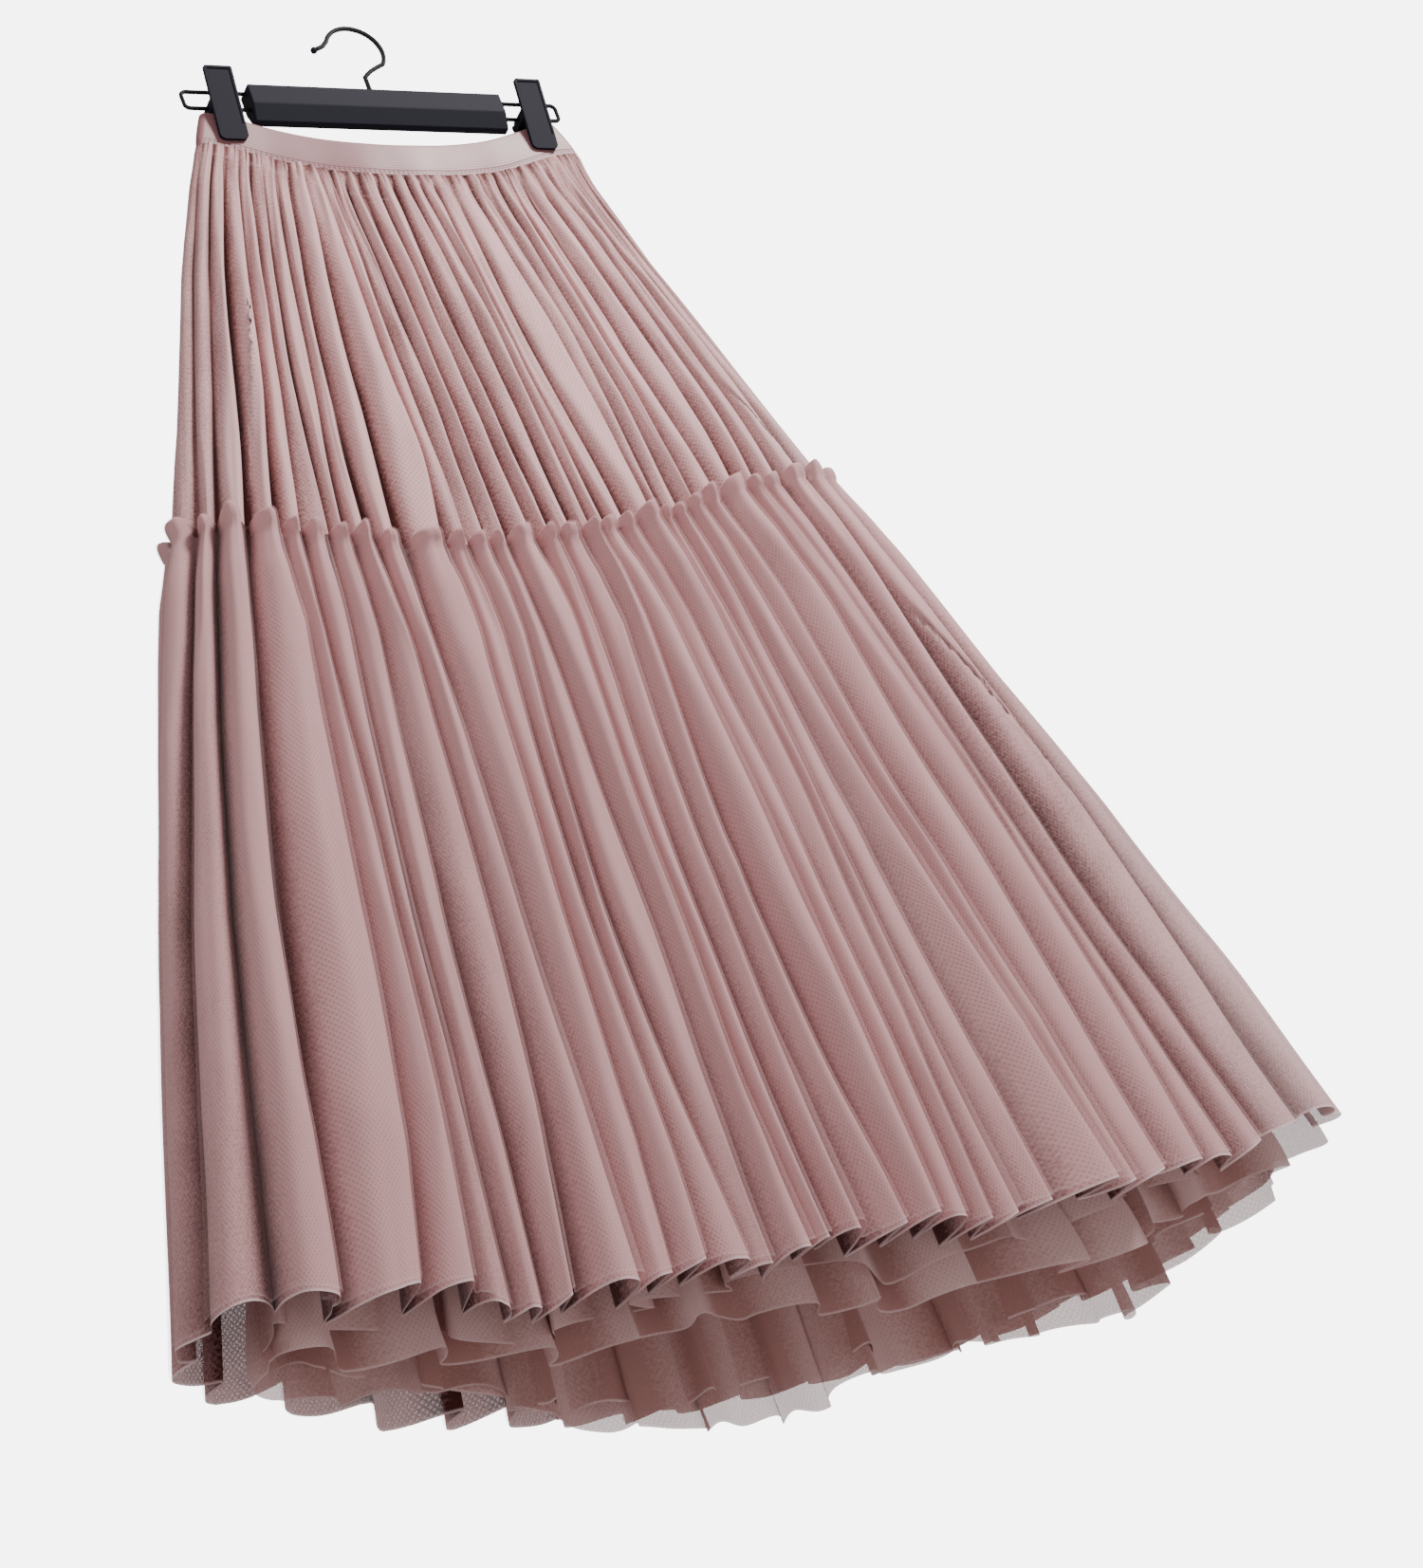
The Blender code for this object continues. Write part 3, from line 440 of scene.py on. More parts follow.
def folded_row(flat, height, row, places, look):
    """One row of gathered cloth as points (x, y, z), and painted shade from how far out each stands: 0 dark
    in the valleys, 1 lit on the ridges.

    look holds the folds' fullness, lean, swell and puff and the small creases on them. Also gives each
    point's rise across its fold and the direction out of the ring there.
    """
    around, part, width, ridge, valley = places
    outward, along, pace = ring_axes(flat)
    toward_end = np.clip((np.abs(side_of(flat)) - CALM_FROM) / (1 - CALM_FROM), 0.0, 1.0)
    calm = 1 - row.get("calm", 0.0) * toward_end
    upright = 1 - UPRIGHT_AT_ENDS * toward_end
    here = [sample_ring(values, around) for values in (flat, height, outward, along, pace, calm, upright)]
    flat, height, outward, along, pace, calm, upright = here
    rise = fold_rise(part, look["fullness"])
    out = row["fold"] * calm * look["swell"] * ((ridge + valley) * rise - valley)
    out = out + look["puff"] * rise + look["creases"] * calm
    fold_width = pace * OUTLINE_POINTS / 2 * width
    aside = fold_width * (look["lean"] * upright * rise - row.get("round", 0.0) * np.sin(2 * math.pi * part))
    points = flat + outward * out[:, None] + along * aside[:, None]
    # Painted light and shade: the colour is lighter the further out the cloth stands and darker down in its
    # valleys.
    painted_shade = np.clip(0.5 + 0.5 * out / (row["fold"] + CREST_MARGIN), 0.0, 1.0)
    return np.column_stack([points, height]), painted_shade, rise, outward


class Randomness:
    """One seeded source for every uneven amount, so that each run gives the same skirt."""

    def __init__(self, seed):
        self.source = np.random.default_rng(seed)

    def drift(self, rows, columns, down, across):
        """Smooth heights from -1 to 1 over a closed band of cloth, with so many bumps each way."""
        knots = self.source.uniform(-1, 1, (down + 2, across))
        y = np.arange(rows) * down / max(rows - 1, 1)
        x = np.arange(columns) * across / columns
        y_low = y.astype(int)
        x_low = x.astype(int)
        y_mix = (y - y_low)[:, None]
        x_mix = (x - x_low)[None, :]
        y_mix = y_mix * y_mix * (3 - 2 * y_mix)
        x_mix = x_mix * x_mix * (3 - 2 * x_mix)
        top = knots[y_low][:, x_low] * (1 - x_mix) + knots[y_low][:, (x_low + 1) % across] * x_mix
        foot = knots[y_low + 1][:, x_low] * (1 - x_mix) + knots[y_low + 1][:, (x_low + 1) % across] * x_mix
        return top * (1 - y_mix) + foot * y_mix


# ---- meshes ----------------------------------------------------------------------------------------
def cloth_tube(name, points, painted_shade, sheer_and_backlight, cut, finish):
    """A tube of cloth from a flat grid: its rows run down the cloth and its columns once around."""
    points, painted_shade, sheer_and_backlight = (np.concatenate([a, a[:, :1]], axis=1) for a in (points, painted_shade, sheer_and_backlight))
    rows, columns = painted_shade.shape
    bm = bmesh.new()
    uv = bm.loops.layers.uv.new("cloth")
    # Layers for the painted light and shade, and for how sheer the net is, which also paints it paler.
    ridge = bm.verts.layers.float.new("painted_shade")
    thin = bm.verts.layers.float.new("sheer_and_backlight")
    bmesh.ops.create_grid(bm, x_segments=columns - 1, y_segments=rows - 1, size=0.5)
    bm.verts.index_update()
    for vert, place, height, share in zip(bm.verts, points.reshape(-1, 3), painted_shade.flat, sheer_and_backlight.flat):
        vert.co = place
        vert[ridge] = height
        vert[thin] = share
    for face in bm.faces:
        face.smooth = True
        for loop in face.loops:
            row, column = divmod(loop.vert.index, columns)
            loop[uv].uv = (column / (columns - 1) * cut[0], row / (rows - 1) * cut[1])
    edge = [vert for vert in bm.verts if vert.index % columns in (0, columns - 1)]
    bmesh.ops.remove_doubles(bm, verts=edge, dist=1e-6)
    data = bpy.data.meshes.new(name)
    bm.to_mesh(data)
    bm.free()
    data.materials.append(finish)
    thing = bpy.data.objects.new(name, data)
    bpy.context.scene.collection.objects.link(thing)
    return thing


def gathers(chance, slants, fine, middle):
    """How a gathered tier hangs between its tables' rows: uneven lean, fullness and swell, and creases.

    fine is the depth of the little pleats that fade below the gathers, and middle that of the longer
    creases. The sharp and the crisp ones are ridges where the net has been pressed.
    """
    rows = len(slants)
    fade = 0.20 + 0.80 * np.exp(-(slants - slants[0]) / GATHER_FADE)[:, None]
    small = chance.drift(rows, COLUMNS, 4, FOLDS * 4) + 0.6 * chance.drift(rows, COLUMNS, 7, FOLDS * 7)
    slow = chance.drift(rows, COLUMNS, 3, FOLDS * 2) + 0.5 * chance.drift(rows, COLUMNS, 5, FOLDS)
    sharp = 1 - 2 * np.abs(chance.drift(rows, COLUMNS, 2, FOLDS * 2)) ** 0.7
    crisp = np.clip(1 - 3 * np.abs(chance.drift(rows, COLUMNS, 3, FOLDS * 3)), 0.0, 1.0)
    lean = 0.34 * chance.drift(rows, COLUMNS, 2, FOLDS) + 0.08 * chance.drift(rows, COLUMNS, 5, FOLDS)
    swell = 0.95 + 0.35 * chance.drift(rows, COLUMNS, 2, FOLDS) + 0.20 * chance.drift(rows, COLUMNS, 1, 17)
    from_seam = np.clip(np.abs(slants - TIER_SEAM) / EVEN_AT_SEAM, 0.0, 1.0)[:, None]
    fullness = TIER_FULLNESS * 2.0 ** (from_seam * chance.drift(rows, COLUMNS, 2, FOLDS))
    creases = fine * fade * small + middle * (slow + 0.9 * sharp + 0.8 * crisp)
    return {"lean": lean, "swell": swell, "fullness": fullness, "creases": creases, "puff": np.zeros(rows)}


def tier_rows(rings, slants, hang, valley_share=1.0):
    """Every row of one tier: its points, and the painted shade from how far out each stands.

    valley_share is how deep its valleys are beside those of the tier's solid.
    """
    points, painted_shade = [], []
    for number, slant in enumerate(slants):
        row = read_rings(rings, slant)
        flat, height = cloth_line(slant, row["left"], row["right"])
        look = {name: values[number] for name, values in hang.items()}
        around, part, width, ridge, valley = tier_places(slant)
        places = (around, part, width, ridge, valley_share * valley)
        made = folded_row(flat, height, row, places, look)
        points.append(made[0])
        painted_shade.append(made[1])
    return np.array(points), np.array(painted_shade)


def upper_tier(finish):
    """The upper tier: drawn up in small round puckers under the band, with longer folds below them."""
    chance = Randomness(SEEDS["upper tier"])
    slants = np.linspace(0.0, TIER_SEAM + UPPER_OVERLAP, UPPER_ROWS)
    hang = gathers(chance, slants, UPPER_PLEAT, UPPER_CREASE)
    hang["lean"] = (hang["lean"] - UPPER_LEAN) * LEAN_SHARE
    hang["swell"] = hang["swell"] * UPPER_SWELL
    hang["creases"] *= np.clip(slants / 0.03, 0.25, 1.0)[:, None]
    puckers = np.abs(chance.drift(1, COLUMNS, 1, FOLDS * 4)[0]) ** 0.6
    bumps = np.exp(-(((slants - PUCKER_SLANT) / PUCKER_REACH) ** 2))
    hang["creases"] += PUCKER_DEPTH * bumps[:, None] * puckers[None, :]
    points, painted_shade = tier_rows(UPPER_RINGS, slants, hang)
    # Painted shade in the gaps between the puckers just below the band.
    painted_gap_shade = np.exp(-((slants / PUCKER_SHADE) ** 2))[:, None] * (1 - puckers[None, :])
    painted_shade = painted_shade * (1 - painted_gap_shade)
    # Round the right end the net is single, so it shows thin there, and it is painted paler there as if lit
    # through from behind.
    side = points[:, :, 0] / BAND_HALF_WIDTH
    sheer_and_backlight = np.clip((side - 1.10) / 0.5, 0.0, 1.0)
    return cloth_tube("upper_tulle_tier", points, painted_shade, sheer_and_backlight, UPPER_CUT, finish)


def lower_tier(name, out_by, valley_share, cut, finish):
    """One ply of the lower tier: its top edge is rolled over into a row of soft heads, one to a fold.

    out_by is how far outside the tier's solid the ply lies, and valley_share how deep its valleys are on
    the front beside those of the solid. The outer ply also has narrow folds of its own.
    """
    chance = Randomness(SEEDS["lower tier"])
    slants = np.linspace(LOWER_RINGS[0]["slant"], CLOTH_LENGTH, LOWER_ROWS)
    hang = gathers(chance, slants, LOWER_PLEAT, LOWER_CREASE)
    hang["lean"] = (hang["lean"] - LOWER_LEAN) * np.clip((slants - 0.33) / 0.09, 0.3, 1.0)[:, None]
    hang["lean"] = hang["lean"] * LEAN_SHARE
    hang["creases"] += out_by
    hang["swell"] = hang["swell"] * LOWER_SWELL
    hang["puff"] = np.array([read_rings(SEAM_PUFFS, slant)["puff"] for slant in slants])
    valley_share = around_folds((2, 1.0), (6, valley_share), (26, valley_share), (30, 1.0))
    if out_by > 0:
        chance = Randomness(SEEDS["outer ply"])
        down = np.linspace(0.15, 1.0, LOWER_ROWS)[:, None]
        own = chance.drift(LOWER_ROWS, COLUMNS, 2, VEIL_FOLDS) + 0.3 * chance.drift(LOWER_ROWS, COLUMNS, 3, 9)
        hang["creases"] += VEIL_FOLD_DEPTH * VEIL_FOLD_SHARE * down * np.clip(1.6 * own, 0.0, 1.0) ** 0.5
    points, painted_shade = tier_rows(LOWER_RINGS, slants, hang, valley_share)
    # Both plies were cut together, the outer one a little shorter.
    hem = Randomness(SEEDS["hem"])
    ragged = HEM_WAVE * hem.drift(1, COLUMNS, 1, FOLDS)[0]
    ragged += HEM_NICKS * hem.drift(1, COLUMNS, 1, FOLDS * 3)[0]
    ragged -= VEIL_HEM_RISE * out_by
    points[:, :, 2] -= np.clip((slants - HEM_FROM) / HEM_REACH, 0.0, 1.0)[:, None] * ragged[None, :]
    # The foot of the tier above, moved out by the lap, carries the stitches.
    foot_row = read_rings(UPPER_RINGS, SEAM_STITCHES)
    flat, height = cloth_line(SEAM_STITCHES, foot_row["left"], foot_row["right"])
    look = {"fullness": TIER_FULLNESS, "lean": hang["lean"][0], "swell": 1.0, "creases": 0.0, "puff": 0.0}
    places = tier_places(SEAM_STITCHES)
    foot, _, _, out = folded_row(flat, height, foot_row, places, look)
    foot[:, :2] += out * (NET_WALL + LAP_GAP + out_by)
    # Each head is a broad dome of its own height, with the stitches' little puckers in it.
    heading = Randomness(SEEDS["heads"])
    tall = np.repeat(heading.source.uniform(SHORTEST_HEAD, TALLEST_HEAD, FOLDS), STEPS_PER_FOLD)
    tall = tall * np.clip(places[2] / FULL_FOLD_SHARE, 0.35, 1.25)
    dome = fold_rise(places[1], HEAD_FULLNESS) * (1 + 0.16 * heading.drift(1, COLUMNS, 1, FOLDS * 4)[0])
    lift = HEADING_DIP + HEADING_LIFT * dome * tall
    puckered = HEAD_PUFF * dome + HEAD_PUCKER * heading.drift(1, COLUMNS, 1, FOLDS * 5)[0]
    heads = []
    for step in range(HEAD_ROWS):
        turn = math.pi * step / HEAD_ROWS
        over = (1 - math.cos(turn)) / 2
        row = foot + (points[0] - foot) * over
        row[:, 2] += lift * math.sin(turn)
        row[:, :2] += out * (puckered * math.sin(turn))[:, None]
        heads.append(row)
    points = np.concatenate([np.array(heads), points])
    # Painted light and shade on the heads: lighter on their domes, darker between them.
    painted_shade = np.concatenate([np.repeat(np.clip(1.3 * dome, 0.0, 1.0)[None], HEAD_ROWS, axis=0), painted_shade])
    # Round the right end the net is single, and the outer ply thins out toward it; both are also painted
    # paler there as if lit through from behind.
    side = points[:, :, 0] / HEM_HALF_WIDTH
    down = (np.arange(len(points)) / len(points))[:, None]
    sheer_and_backlight = np.clip((side - 0.68) / 0.32, 0.0, 1.0) * np.clip(down * 1.6, 0.0, 1.0)
    if out_by > 0:
        sheer_and_backlight = np.clip((side / (0.45 + 0.55 * down) - 0.78) / 0.16, 0.0, 1.0)
    return cloth_tube(name, points, painted_shade, sheer_and_backlight, cut, finish)


def under_tulle(seed, name, foot, shrink, cut, finish):
    """One net layer inside the lower tier: flat pleats that lie over each other, and a raw wavy hem.

    seed is its name among the seeds, foot is the slant of that hem, and shrink draws the layer in from
    the under-layer's own solid.
    """
    chance = Randomness(SEEDS[seed])
    top = UNDER_RINGS[0]["slant"]
    slants = np.linspace(top, foot, UNDER_ROWS)
    columns = UNDER_FOLDS * STEPS_PER_UNDER_FOLD
    places = under_places()
    small = chance.drift(UNDER_ROWS, columns, 6, UNDER_FOLDS * 5)
    slow = chance.drift(UNDER_ROWS, columns, 4, UNDER_FOLDS * 2)
    lean = chance.drift(1, columns, 1, UNDER_FOLDS)[0]
    ruffle = chance.drift(1, columns, 1, UNDER_FOLDS * 4)[0]
    ragged = chance.drift(1, columns, 1, UNDER_FOLDS)[0]
    points, painted_shade = [], []
    for number, slant in enumerate(slants):
        row = read_rings(UNDER_RINGS, slant)
        flat = flat_oval(
            row["half_width"] - shrink, row["end_depth"], row["mid_depth"] - shrink, row["half_width"]
        )
        height = cloth_line(slant)[1]
        low = (slant - top) / (foot - top)
        near_hem = max(low - (1 - UNDER_HEM_REACH), 0.0) / UNDER_HEM_REACH
        creases = (0.0016 - 0.0010 * low) * small[number] + 0.0014 * slow[number] * low
        creases = creases + UNDER_HEM_RUFFLE * ruffle * near_hem
        look = {"fullness": UNDER_FULLNESS, "lean": UNDER_LEAN * lean * low, "swell": 1.0, "puff": 0.0}
        look["creases"] = creases
        made = folded_row(flat, height, row, places, look)
        made[0][:, 2] -= (UNDER_HEM_NICKS * ruffle + UNDER_HEM_WAVE * ragged) * near_hem
        points.append(made[0])
        painted_shade.append(made[1])
    points = np.array(points)
    painted_shade = np.array(painted_shade)
    return cloth_tube(name, points, painted_shade, np.zeros(painted_shade.shape), cut, finish)


def waistband(finish):
    """The ribbon-faced elastic: smooth, turned in at its top, and sewn down along its foot."""
    around = np.arange(BAND_COLUMNS) / BAND_COLUMNS
    foot = flat_oval(BAND_HALF_WIDTH, BAND_END_DEPTH, BAND_MID_DEPTH, BAND_BULGE_HALF_WIDTH)
    top = flat_oval(BAND_TOP_HALF_WIDTH, BAND_END_DEPTH, BAND_MID_DEPTH, BAND_BULGE_HALF_WIDTH)
    slow = Randomness(SEEDS["band"]).drift(1, BAND_COLUMNS, 1, 26)[0]
    stitched = np.abs(np.sin(math.pi * BAND_STITCHES * around))
    points, painted_shade = [], []
    # Shares of its height with how far out it lies: its turned-in top, its outside and its turned-in foot.
    profile = [(0.97, -0.0012), (1.00, -0.0009), (1.02, -0.0002), (1.01, 0.0005)]
    profile += [(share, 0.0006 + 0.0005 * math.sin(math.pi * share)) for share in np.linspace(0.96, 0.05, 19)]
    profile += [(0.02, 0.0005), (-0.01, 0.0001), (0.0, -0.0006)]
    for share, out in profile:
        flat = foot + (top - foot) * share
        outward = ring_axes(flat)[0]
        sewn = math.exp(-(((share - SEWN_AT) / SEWN_WIDTH) ** 2))
        ripple = BAND_RIPPLE * slow * (1 - share * 0.6) - STITCH_PULL * sewn * (0.5 + 0.5 * stitched)
        place = sample_ring(flat, around) + sample_ring(outward, around) * (out + ripple)[:, None]
        height = BAND_END_Z - sag(sample_ring(foot[:, 0], around)) + BAND_HEIGHT * share
        points.append(np.column_stack([place, height]))
        # Painted light and shade: lighter where the ribbon ripples out, with painted shadow in the stitched
        # groove at its foot.
        painted_shade.append(0.75 + 0.2 * slow - 0.45 * sewn * stitched)
    points = np.array(points)
    painted_shade = np.clip(np.array(painted_shade), 0.0, 1.0)
    return cloth_tube("satin_band", points, painted_shade, np.zeros(painted_shade.shape), BAND_CUT, finish)


# ---- the hanger ------------------------------------------------------------------------------------
def hard_piece(bm, name, finish, edge_radius):
    """Makes one hard piece of the hanger from a bmesh, with its edges rounded off."""
    bmesh.ops.recalc_face_normals(bm, faces=bm.faces[:])
    data = bpy.data.meshes.new(name)
    bm.to_mesh(data)
    bm.free()
    data.materials.append(finish)
    thing = bpy.data.objects.new(name, data)
    bpy.context.scene.collection.objects.link(thing)
    edges = thing.modifiers.new("rounded edges", "BEVEL")
    edges.width = edge_radius
    edges.segments = 2
    edges.limit_method = "ANGLE"
    return thing


def clip_front(name, side, finish):
    """The front jaw: a raised rim round a sunk panel, a plain lip below it, leaning in to the band."""
    height = CLIP_TOP - CLIP_FOOT
    bm = bmesh.new()
    made = bmesh.ops.create_cube(bm, size=1.0)["verts"]
    bmesh.ops.scale(bm, verts=made, vec=(CLIP_WIDTH, CLIP_PLATE, height))
    bmesh.ops.translate(bm, verts=made, vec=(0.0, -CLIP_PLATE / 2, height / 2))
    for at_top, radius in ((True, CLIP_TOP_CORNER), (False, CLIP_FOOT_CORNER)):
        corners = []
        for edge in bm.edges:
            ends = [vert.co for vert in edge.verts]
            across = abs(ends[0].y - ends[1].y) > CLIP_PLATE / 2
            if across and (ends[0].z > height / 2) == at_top:
                corners.append(edge)
        bmesh.ops.bevel(
            bm, geom=corners, offset=radius, segments=5, profile=0.5, affect="EDGES", material=-1
        )
    bmesh.ops.bisect_plane(
        bm, geom=bm.verts[:] + bm.edges[:] + bm.faces[:], plane_co=(0.0, 0.0, CLIP_LIP),
        plane_no=(0.0, 0.0, 1.0),
    )
    bm.normal_update()
    panel = [face for face in bm.faces if face.normal.y < -0.99 and face.calc_center_median().z > CLIP_LIP]
    bmesh.ops.inset_region(bm, faces=panel, thickness=CLIP_RIM, depth=0.0)
    bmesh.ops.inset_region(bm, faces=panel, thickness=CLIP_RECESS, depth=-CLIP_RECESS)
    lean = math.atan2(CLIP_TOP_GAP - BAND_END_DEPTH, height)
    turned = Matrix.Rotation(lean, 3, "X")
    bmesh.ops.rotate(bm, verts=bm.verts[:], cent=(0.0, 0.0, 0.0), matrix=turned)
    jaw = (side * CLIP_X, -(BAND_END_DEPTH + 2 * SEAM_GAP), CLIP_FOOT)
    bmesh.ops.translate(bm, verts=bm.verts[:], vec=jaw)
    return hard_piece(bm, name, finish, CLIP_FRONT_EDGE)


def clip_back(name, side, finish):
    """The back jaw, from the lower wire down to the band, and the block round that wire it turns on."""
    lean = (CLIP_TOP_GAP - BAND_END_DEPTH) / (CLIP_TOP - CLIP_FOOT)
    height = PIVOT_Z + PIVOT_HEIGHT / 2 - CLIP_FOOT
    depth = BAND_END_DEPTH + lean * (PIVOT_Z - CLIP_FOOT)
    bm = bmesh.new()
    blade = bmesh.ops.create_cube(bm, size=1.0)["verts"]
    bmesh.ops.scale(bm, verts=blade, vec=(PIVOT_WIDTH, CLIP_PLATE, height))
    bmesh.ops.translate(bm, verts=blade, vec=(0.0, CLIP_PLATE / 2, height / 2))
    turned = Matrix.Rotation(-math.atan(lean), 3, "X")
    bmesh.ops.rotate(bm, verts=blade, cent=(0.0, 0.0, 0.0), matrix=turned)
    bmesh.ops.translate(bm, verts=blade, vec=(0.0, BAND_END_DEPTH + 2 * SEAM_GAP, CLIP_FOOT))
    pivot = bmesh.ops.create_cube(bm, size=1.0)["verts"]
    bmesh.ops.scale(bm, verts=pivot, vec=(PIVOT_WIDTH, 2 * depth, PIVOT_HEIGHT))
    bmesh.ops.translate(bm, verts=pivot, vec=(0.0, 0.0, PIVOT_Z))
    bmesh.ops.translate(bm, verts=bm.verts[:], vec=(side * CLIP_X, 0.0, 0.0))
    return hard_piece(bm, name, finish, CLIP_BACK_EDGE)


# ---- finishes --------------------------------------------------------------------------------------
def linear(hex_colour):
    """An sRGB hex colour as the linear colour that a shader takes."""
    parts = [int(hex_colour[place:place + 2], 16) / 255 for place in (1, 3, 5)]
    made = [part / 12.92 if part <= 0.04045 else ((part + 0.055) / 1.055) ** 2.4 for part in parts]
    return (*made, 1.0)


def add_node(tree, kind, settings=(), links=()):
    """Adds a node, sets what settings names on it or on its inputs, and links its inputs."""
    node = tree.nodes.new(kind)
    for name, value in dict(settings).items():
        if isinstance(name, str) and hasattr(node, name):
            setattr(node, name, value)
        else:
            node.inputs[name].default_value = value
    for name, source in dict(links).items():
        tree.links.new(source, node.inputs[name])
    return node


def new_finish(name):
    """A new material, its node tree and its shader."""
    finish = bpy.data.materials.new(name)
    finish.use_nodes = True
    tree = finish.node_tree
    return finish, tree, tree.nodes["Principled BSDF"]


# The net's cells are drawn about twice as coarse as the real 1 mm ones, so that they show.
NET_CELL = 0.0021
NET_ANGLE = 32
# The net's raw edge begins this far above its hem and is full here. The upper tier's hem is out of
# sight, so its edge is put past the end of its cloth.
RAW_EDGE_BEGINS = 0.0018
RAW_EDGE_FULL = 0.0006
NO_RAW_EDGE = 9.0
# The sizes of the net's mottling, the ribbon's ribs, the plastic's grain and the wire's wear.
NET_MOTTLE = 1 / 26
RIB_PITCH = 0.0016
PLASTIC_GRAIN = 1 / 1400
WIRE_WEAR = 1 / 300
# A wave texture at a scale of 1 repeats once in this length.
WAVE_PERIOD = 2 * math.pi / 20


def tulle(name, valley, ridge, edge, alpha, foot, fade=0.06):
    """Nylon tulle, a knitted net of fine matt thread: soft sheen, see-through where it is single, and painted
    paler there as if lit through from behind.

    valley and ridge are its painted shade and painted light: its colours where it lies deep and where it
    stands out. edge is its raw hem's, and foot is the length of the cloth, where that hem is. alpha is how
    much it covers, and fade is how much of that it loses where it is single.
    """
    finish, tree, shader = new_finish(name)
    painted_shade = add_node(tree, "ShaderNodeAttribute", {"attribute_name": "painted_shade"})
    sheer_and_backlight = add_node(tree, "ShaderNodeAttribute", {"attribute_name": "sheer_and_backlight"})
    cloth = add_node(tree, "ShaderNodeUVMap", {"uv_map": "cloth"})
    mottle = add_node(
        tree, "ShaderNodeTexNoise", {"Scale": 1 / NET_MOTTLE, "Detail": 3.0}, {"Vector": cloth.outputs["UV"]}
    )
    grain = add_node(
        tree, "ShaderNodeTexNoise", {"Scale": 1 / NET_CELL, "Detail": 1.0}, {"Vector": cloth.outputs["UV"]}
    )
    mottled_shade = add_node(
        tree, "ShaderNodeMath", {"operation": "MULTIPLY_ADD", 1: 0.3},
        {0: mottle.outputs["Fac"], 2: painted_shade.outputs["Fac"]},
    )
    specks = add_node(
        tree, "ShaderNodeMapRange",
        {"From Min": 0.3, "From Max": 0.7, "To Min": -0.12, "To Max": 0.12}, {"Value": grain.outputs["Fac"]},
    )
    grained = add_node(
        tree, "ShaderNodeMath", {"operation": "ADD"},
        {0: specks.outputs["Result"], 1: mottled_shade.outputs[0]},
    )
    # Painted light and shade: the colour runs from the valley's painted shade to the ridge's painted light,
    # by the painted shade value with its random mottle and specks.
    tone = add_node(tree, "ShaderNodeValToRGB", {}, {"Fac": grained.outputs[0]})
    tone.color_ramp.elements[0].position = 0.33
    tone.color_ramp.elements[0].color = linear(valley)
    tone.color_ramp.elements[1].position = 0.95
    tone.color_ramp.elements[1].color = linear(ridge)
    # Painted light: where the net is single, its colour is mixed toward a pale pink, as if lit through from
    # behind.
    single = add_node(
        tree, "ShaderNodeMath", {"operation": "MULTIPLY", 1: 0.42}, {0: sheer_and_backlight.outputs["Fac"]}
    )
    painted_backlight = add_node(
        tree, "ShaderNodeMix", {"data_type": "RGBA", 7: linear("#f0dcdc")},
        {0: single.outputs[0], 6: tone.outputs["Color"]},
    )
    # The net's threads run both ways across the cloth.
    threads = []
    for turn in (1, -1):
        turned = add_node(
            tree, "ShaderNodeMapping", {"Rotation": (0.0, 0.0, turn * math.radians(NET_ANGLE))},
            {"Vector": cloth.outputs["UV"]},
        )
        threads.append(add_node(
            tree, "ShaderNodeTexWave", {"Scale": WAVE_PERIOD / NET_CELL, "Distortion": 0.0},
            {"Vector": turned.outputs["Vector"]},
        ))
    net = add_node(
        tree, "ShaderNodeMath", {"operation": "MAXIMUM"},
        {0: threads[0].outputs["Fac"], 1: threads[1].outputs["Fac"]},
    )
    # The holes between the threads are painted in the valley's painted shade colour, as the shade seen
    # through the net.
    holes = add_node(
        tree, "ShaderNodeMapRange", {"To Min": 0.30, "To Max": 0.0}, {"Value": net.outputs[0]}
    )
    woven = add_node(
        tree, "ShaderNodeMix", {"data_type": "RGBA", 7: linear(valley)},
        {0: holes.outputs["Result"], 6: painted_backlight.outputs[2]},
    )
    place = add_node(tree, "ShaderNodeSeparateXYZ", {}, {"Vector": cloth.outputs["UV"]})
    raw = add_node(
        tree, "ShaderNodeMapRange",
        {"From Min": foot - RAW_EDGE_BEGINS, "From Max": foot - RAW_EDGE_FULL, "To Min": 0.0, "To Max": 1.0},
        {"Value": place.outputs["Y"]},
    )
    edged = add_node(
        tree, "ShaderNodeMix", {"data_type": "RGBA", 7: linear(edge)},
        {0: raw.outputs["Result"], 6: woven.outputs[2]},
    )
    tree.links.new(edged.outputs[2], shader.inputs["Base Color"])
    bump = add_node(
        tree, "ShaderNodeBump", {"Strength": 0.25, "Distance": 0.0004}, {"Height": net.outputs[0]}
    )
    tree.links.new(bump.outputs["Normal"], shader.inputs["Normal"])
    cover = add_node(
        tree, "ShaderNodeMapRange", {"To Min": alpha - 0.04, "To Max": alpha}, {"Value": net.outputs[0]}
    )
    thinned = add_node(
        tree, "ShaderNodeMath", {"operation": "MULTIPLY_ADD", 1: -fade, "use_clamp": True},
        {0: sheer_and_backlight.outputs["Fac"], 2: cover.outputs["Result"]},
    )
    tree.links.new(thinned.outputs[0], shader.inputs["Alpha"])
    shader.inputs["Roughness"].default_value = 0.85
    shader.inputs["Specular IOR Level"].default_value = 0.25
    shader.inputs["Sheen Weight"].default_value = 0.45
    shader.inputs["Sheen Roughness"].default_value = 0.45
    shader.inputs["Sheen Tint"].default_value = linear("#ead6d8")
    return finish


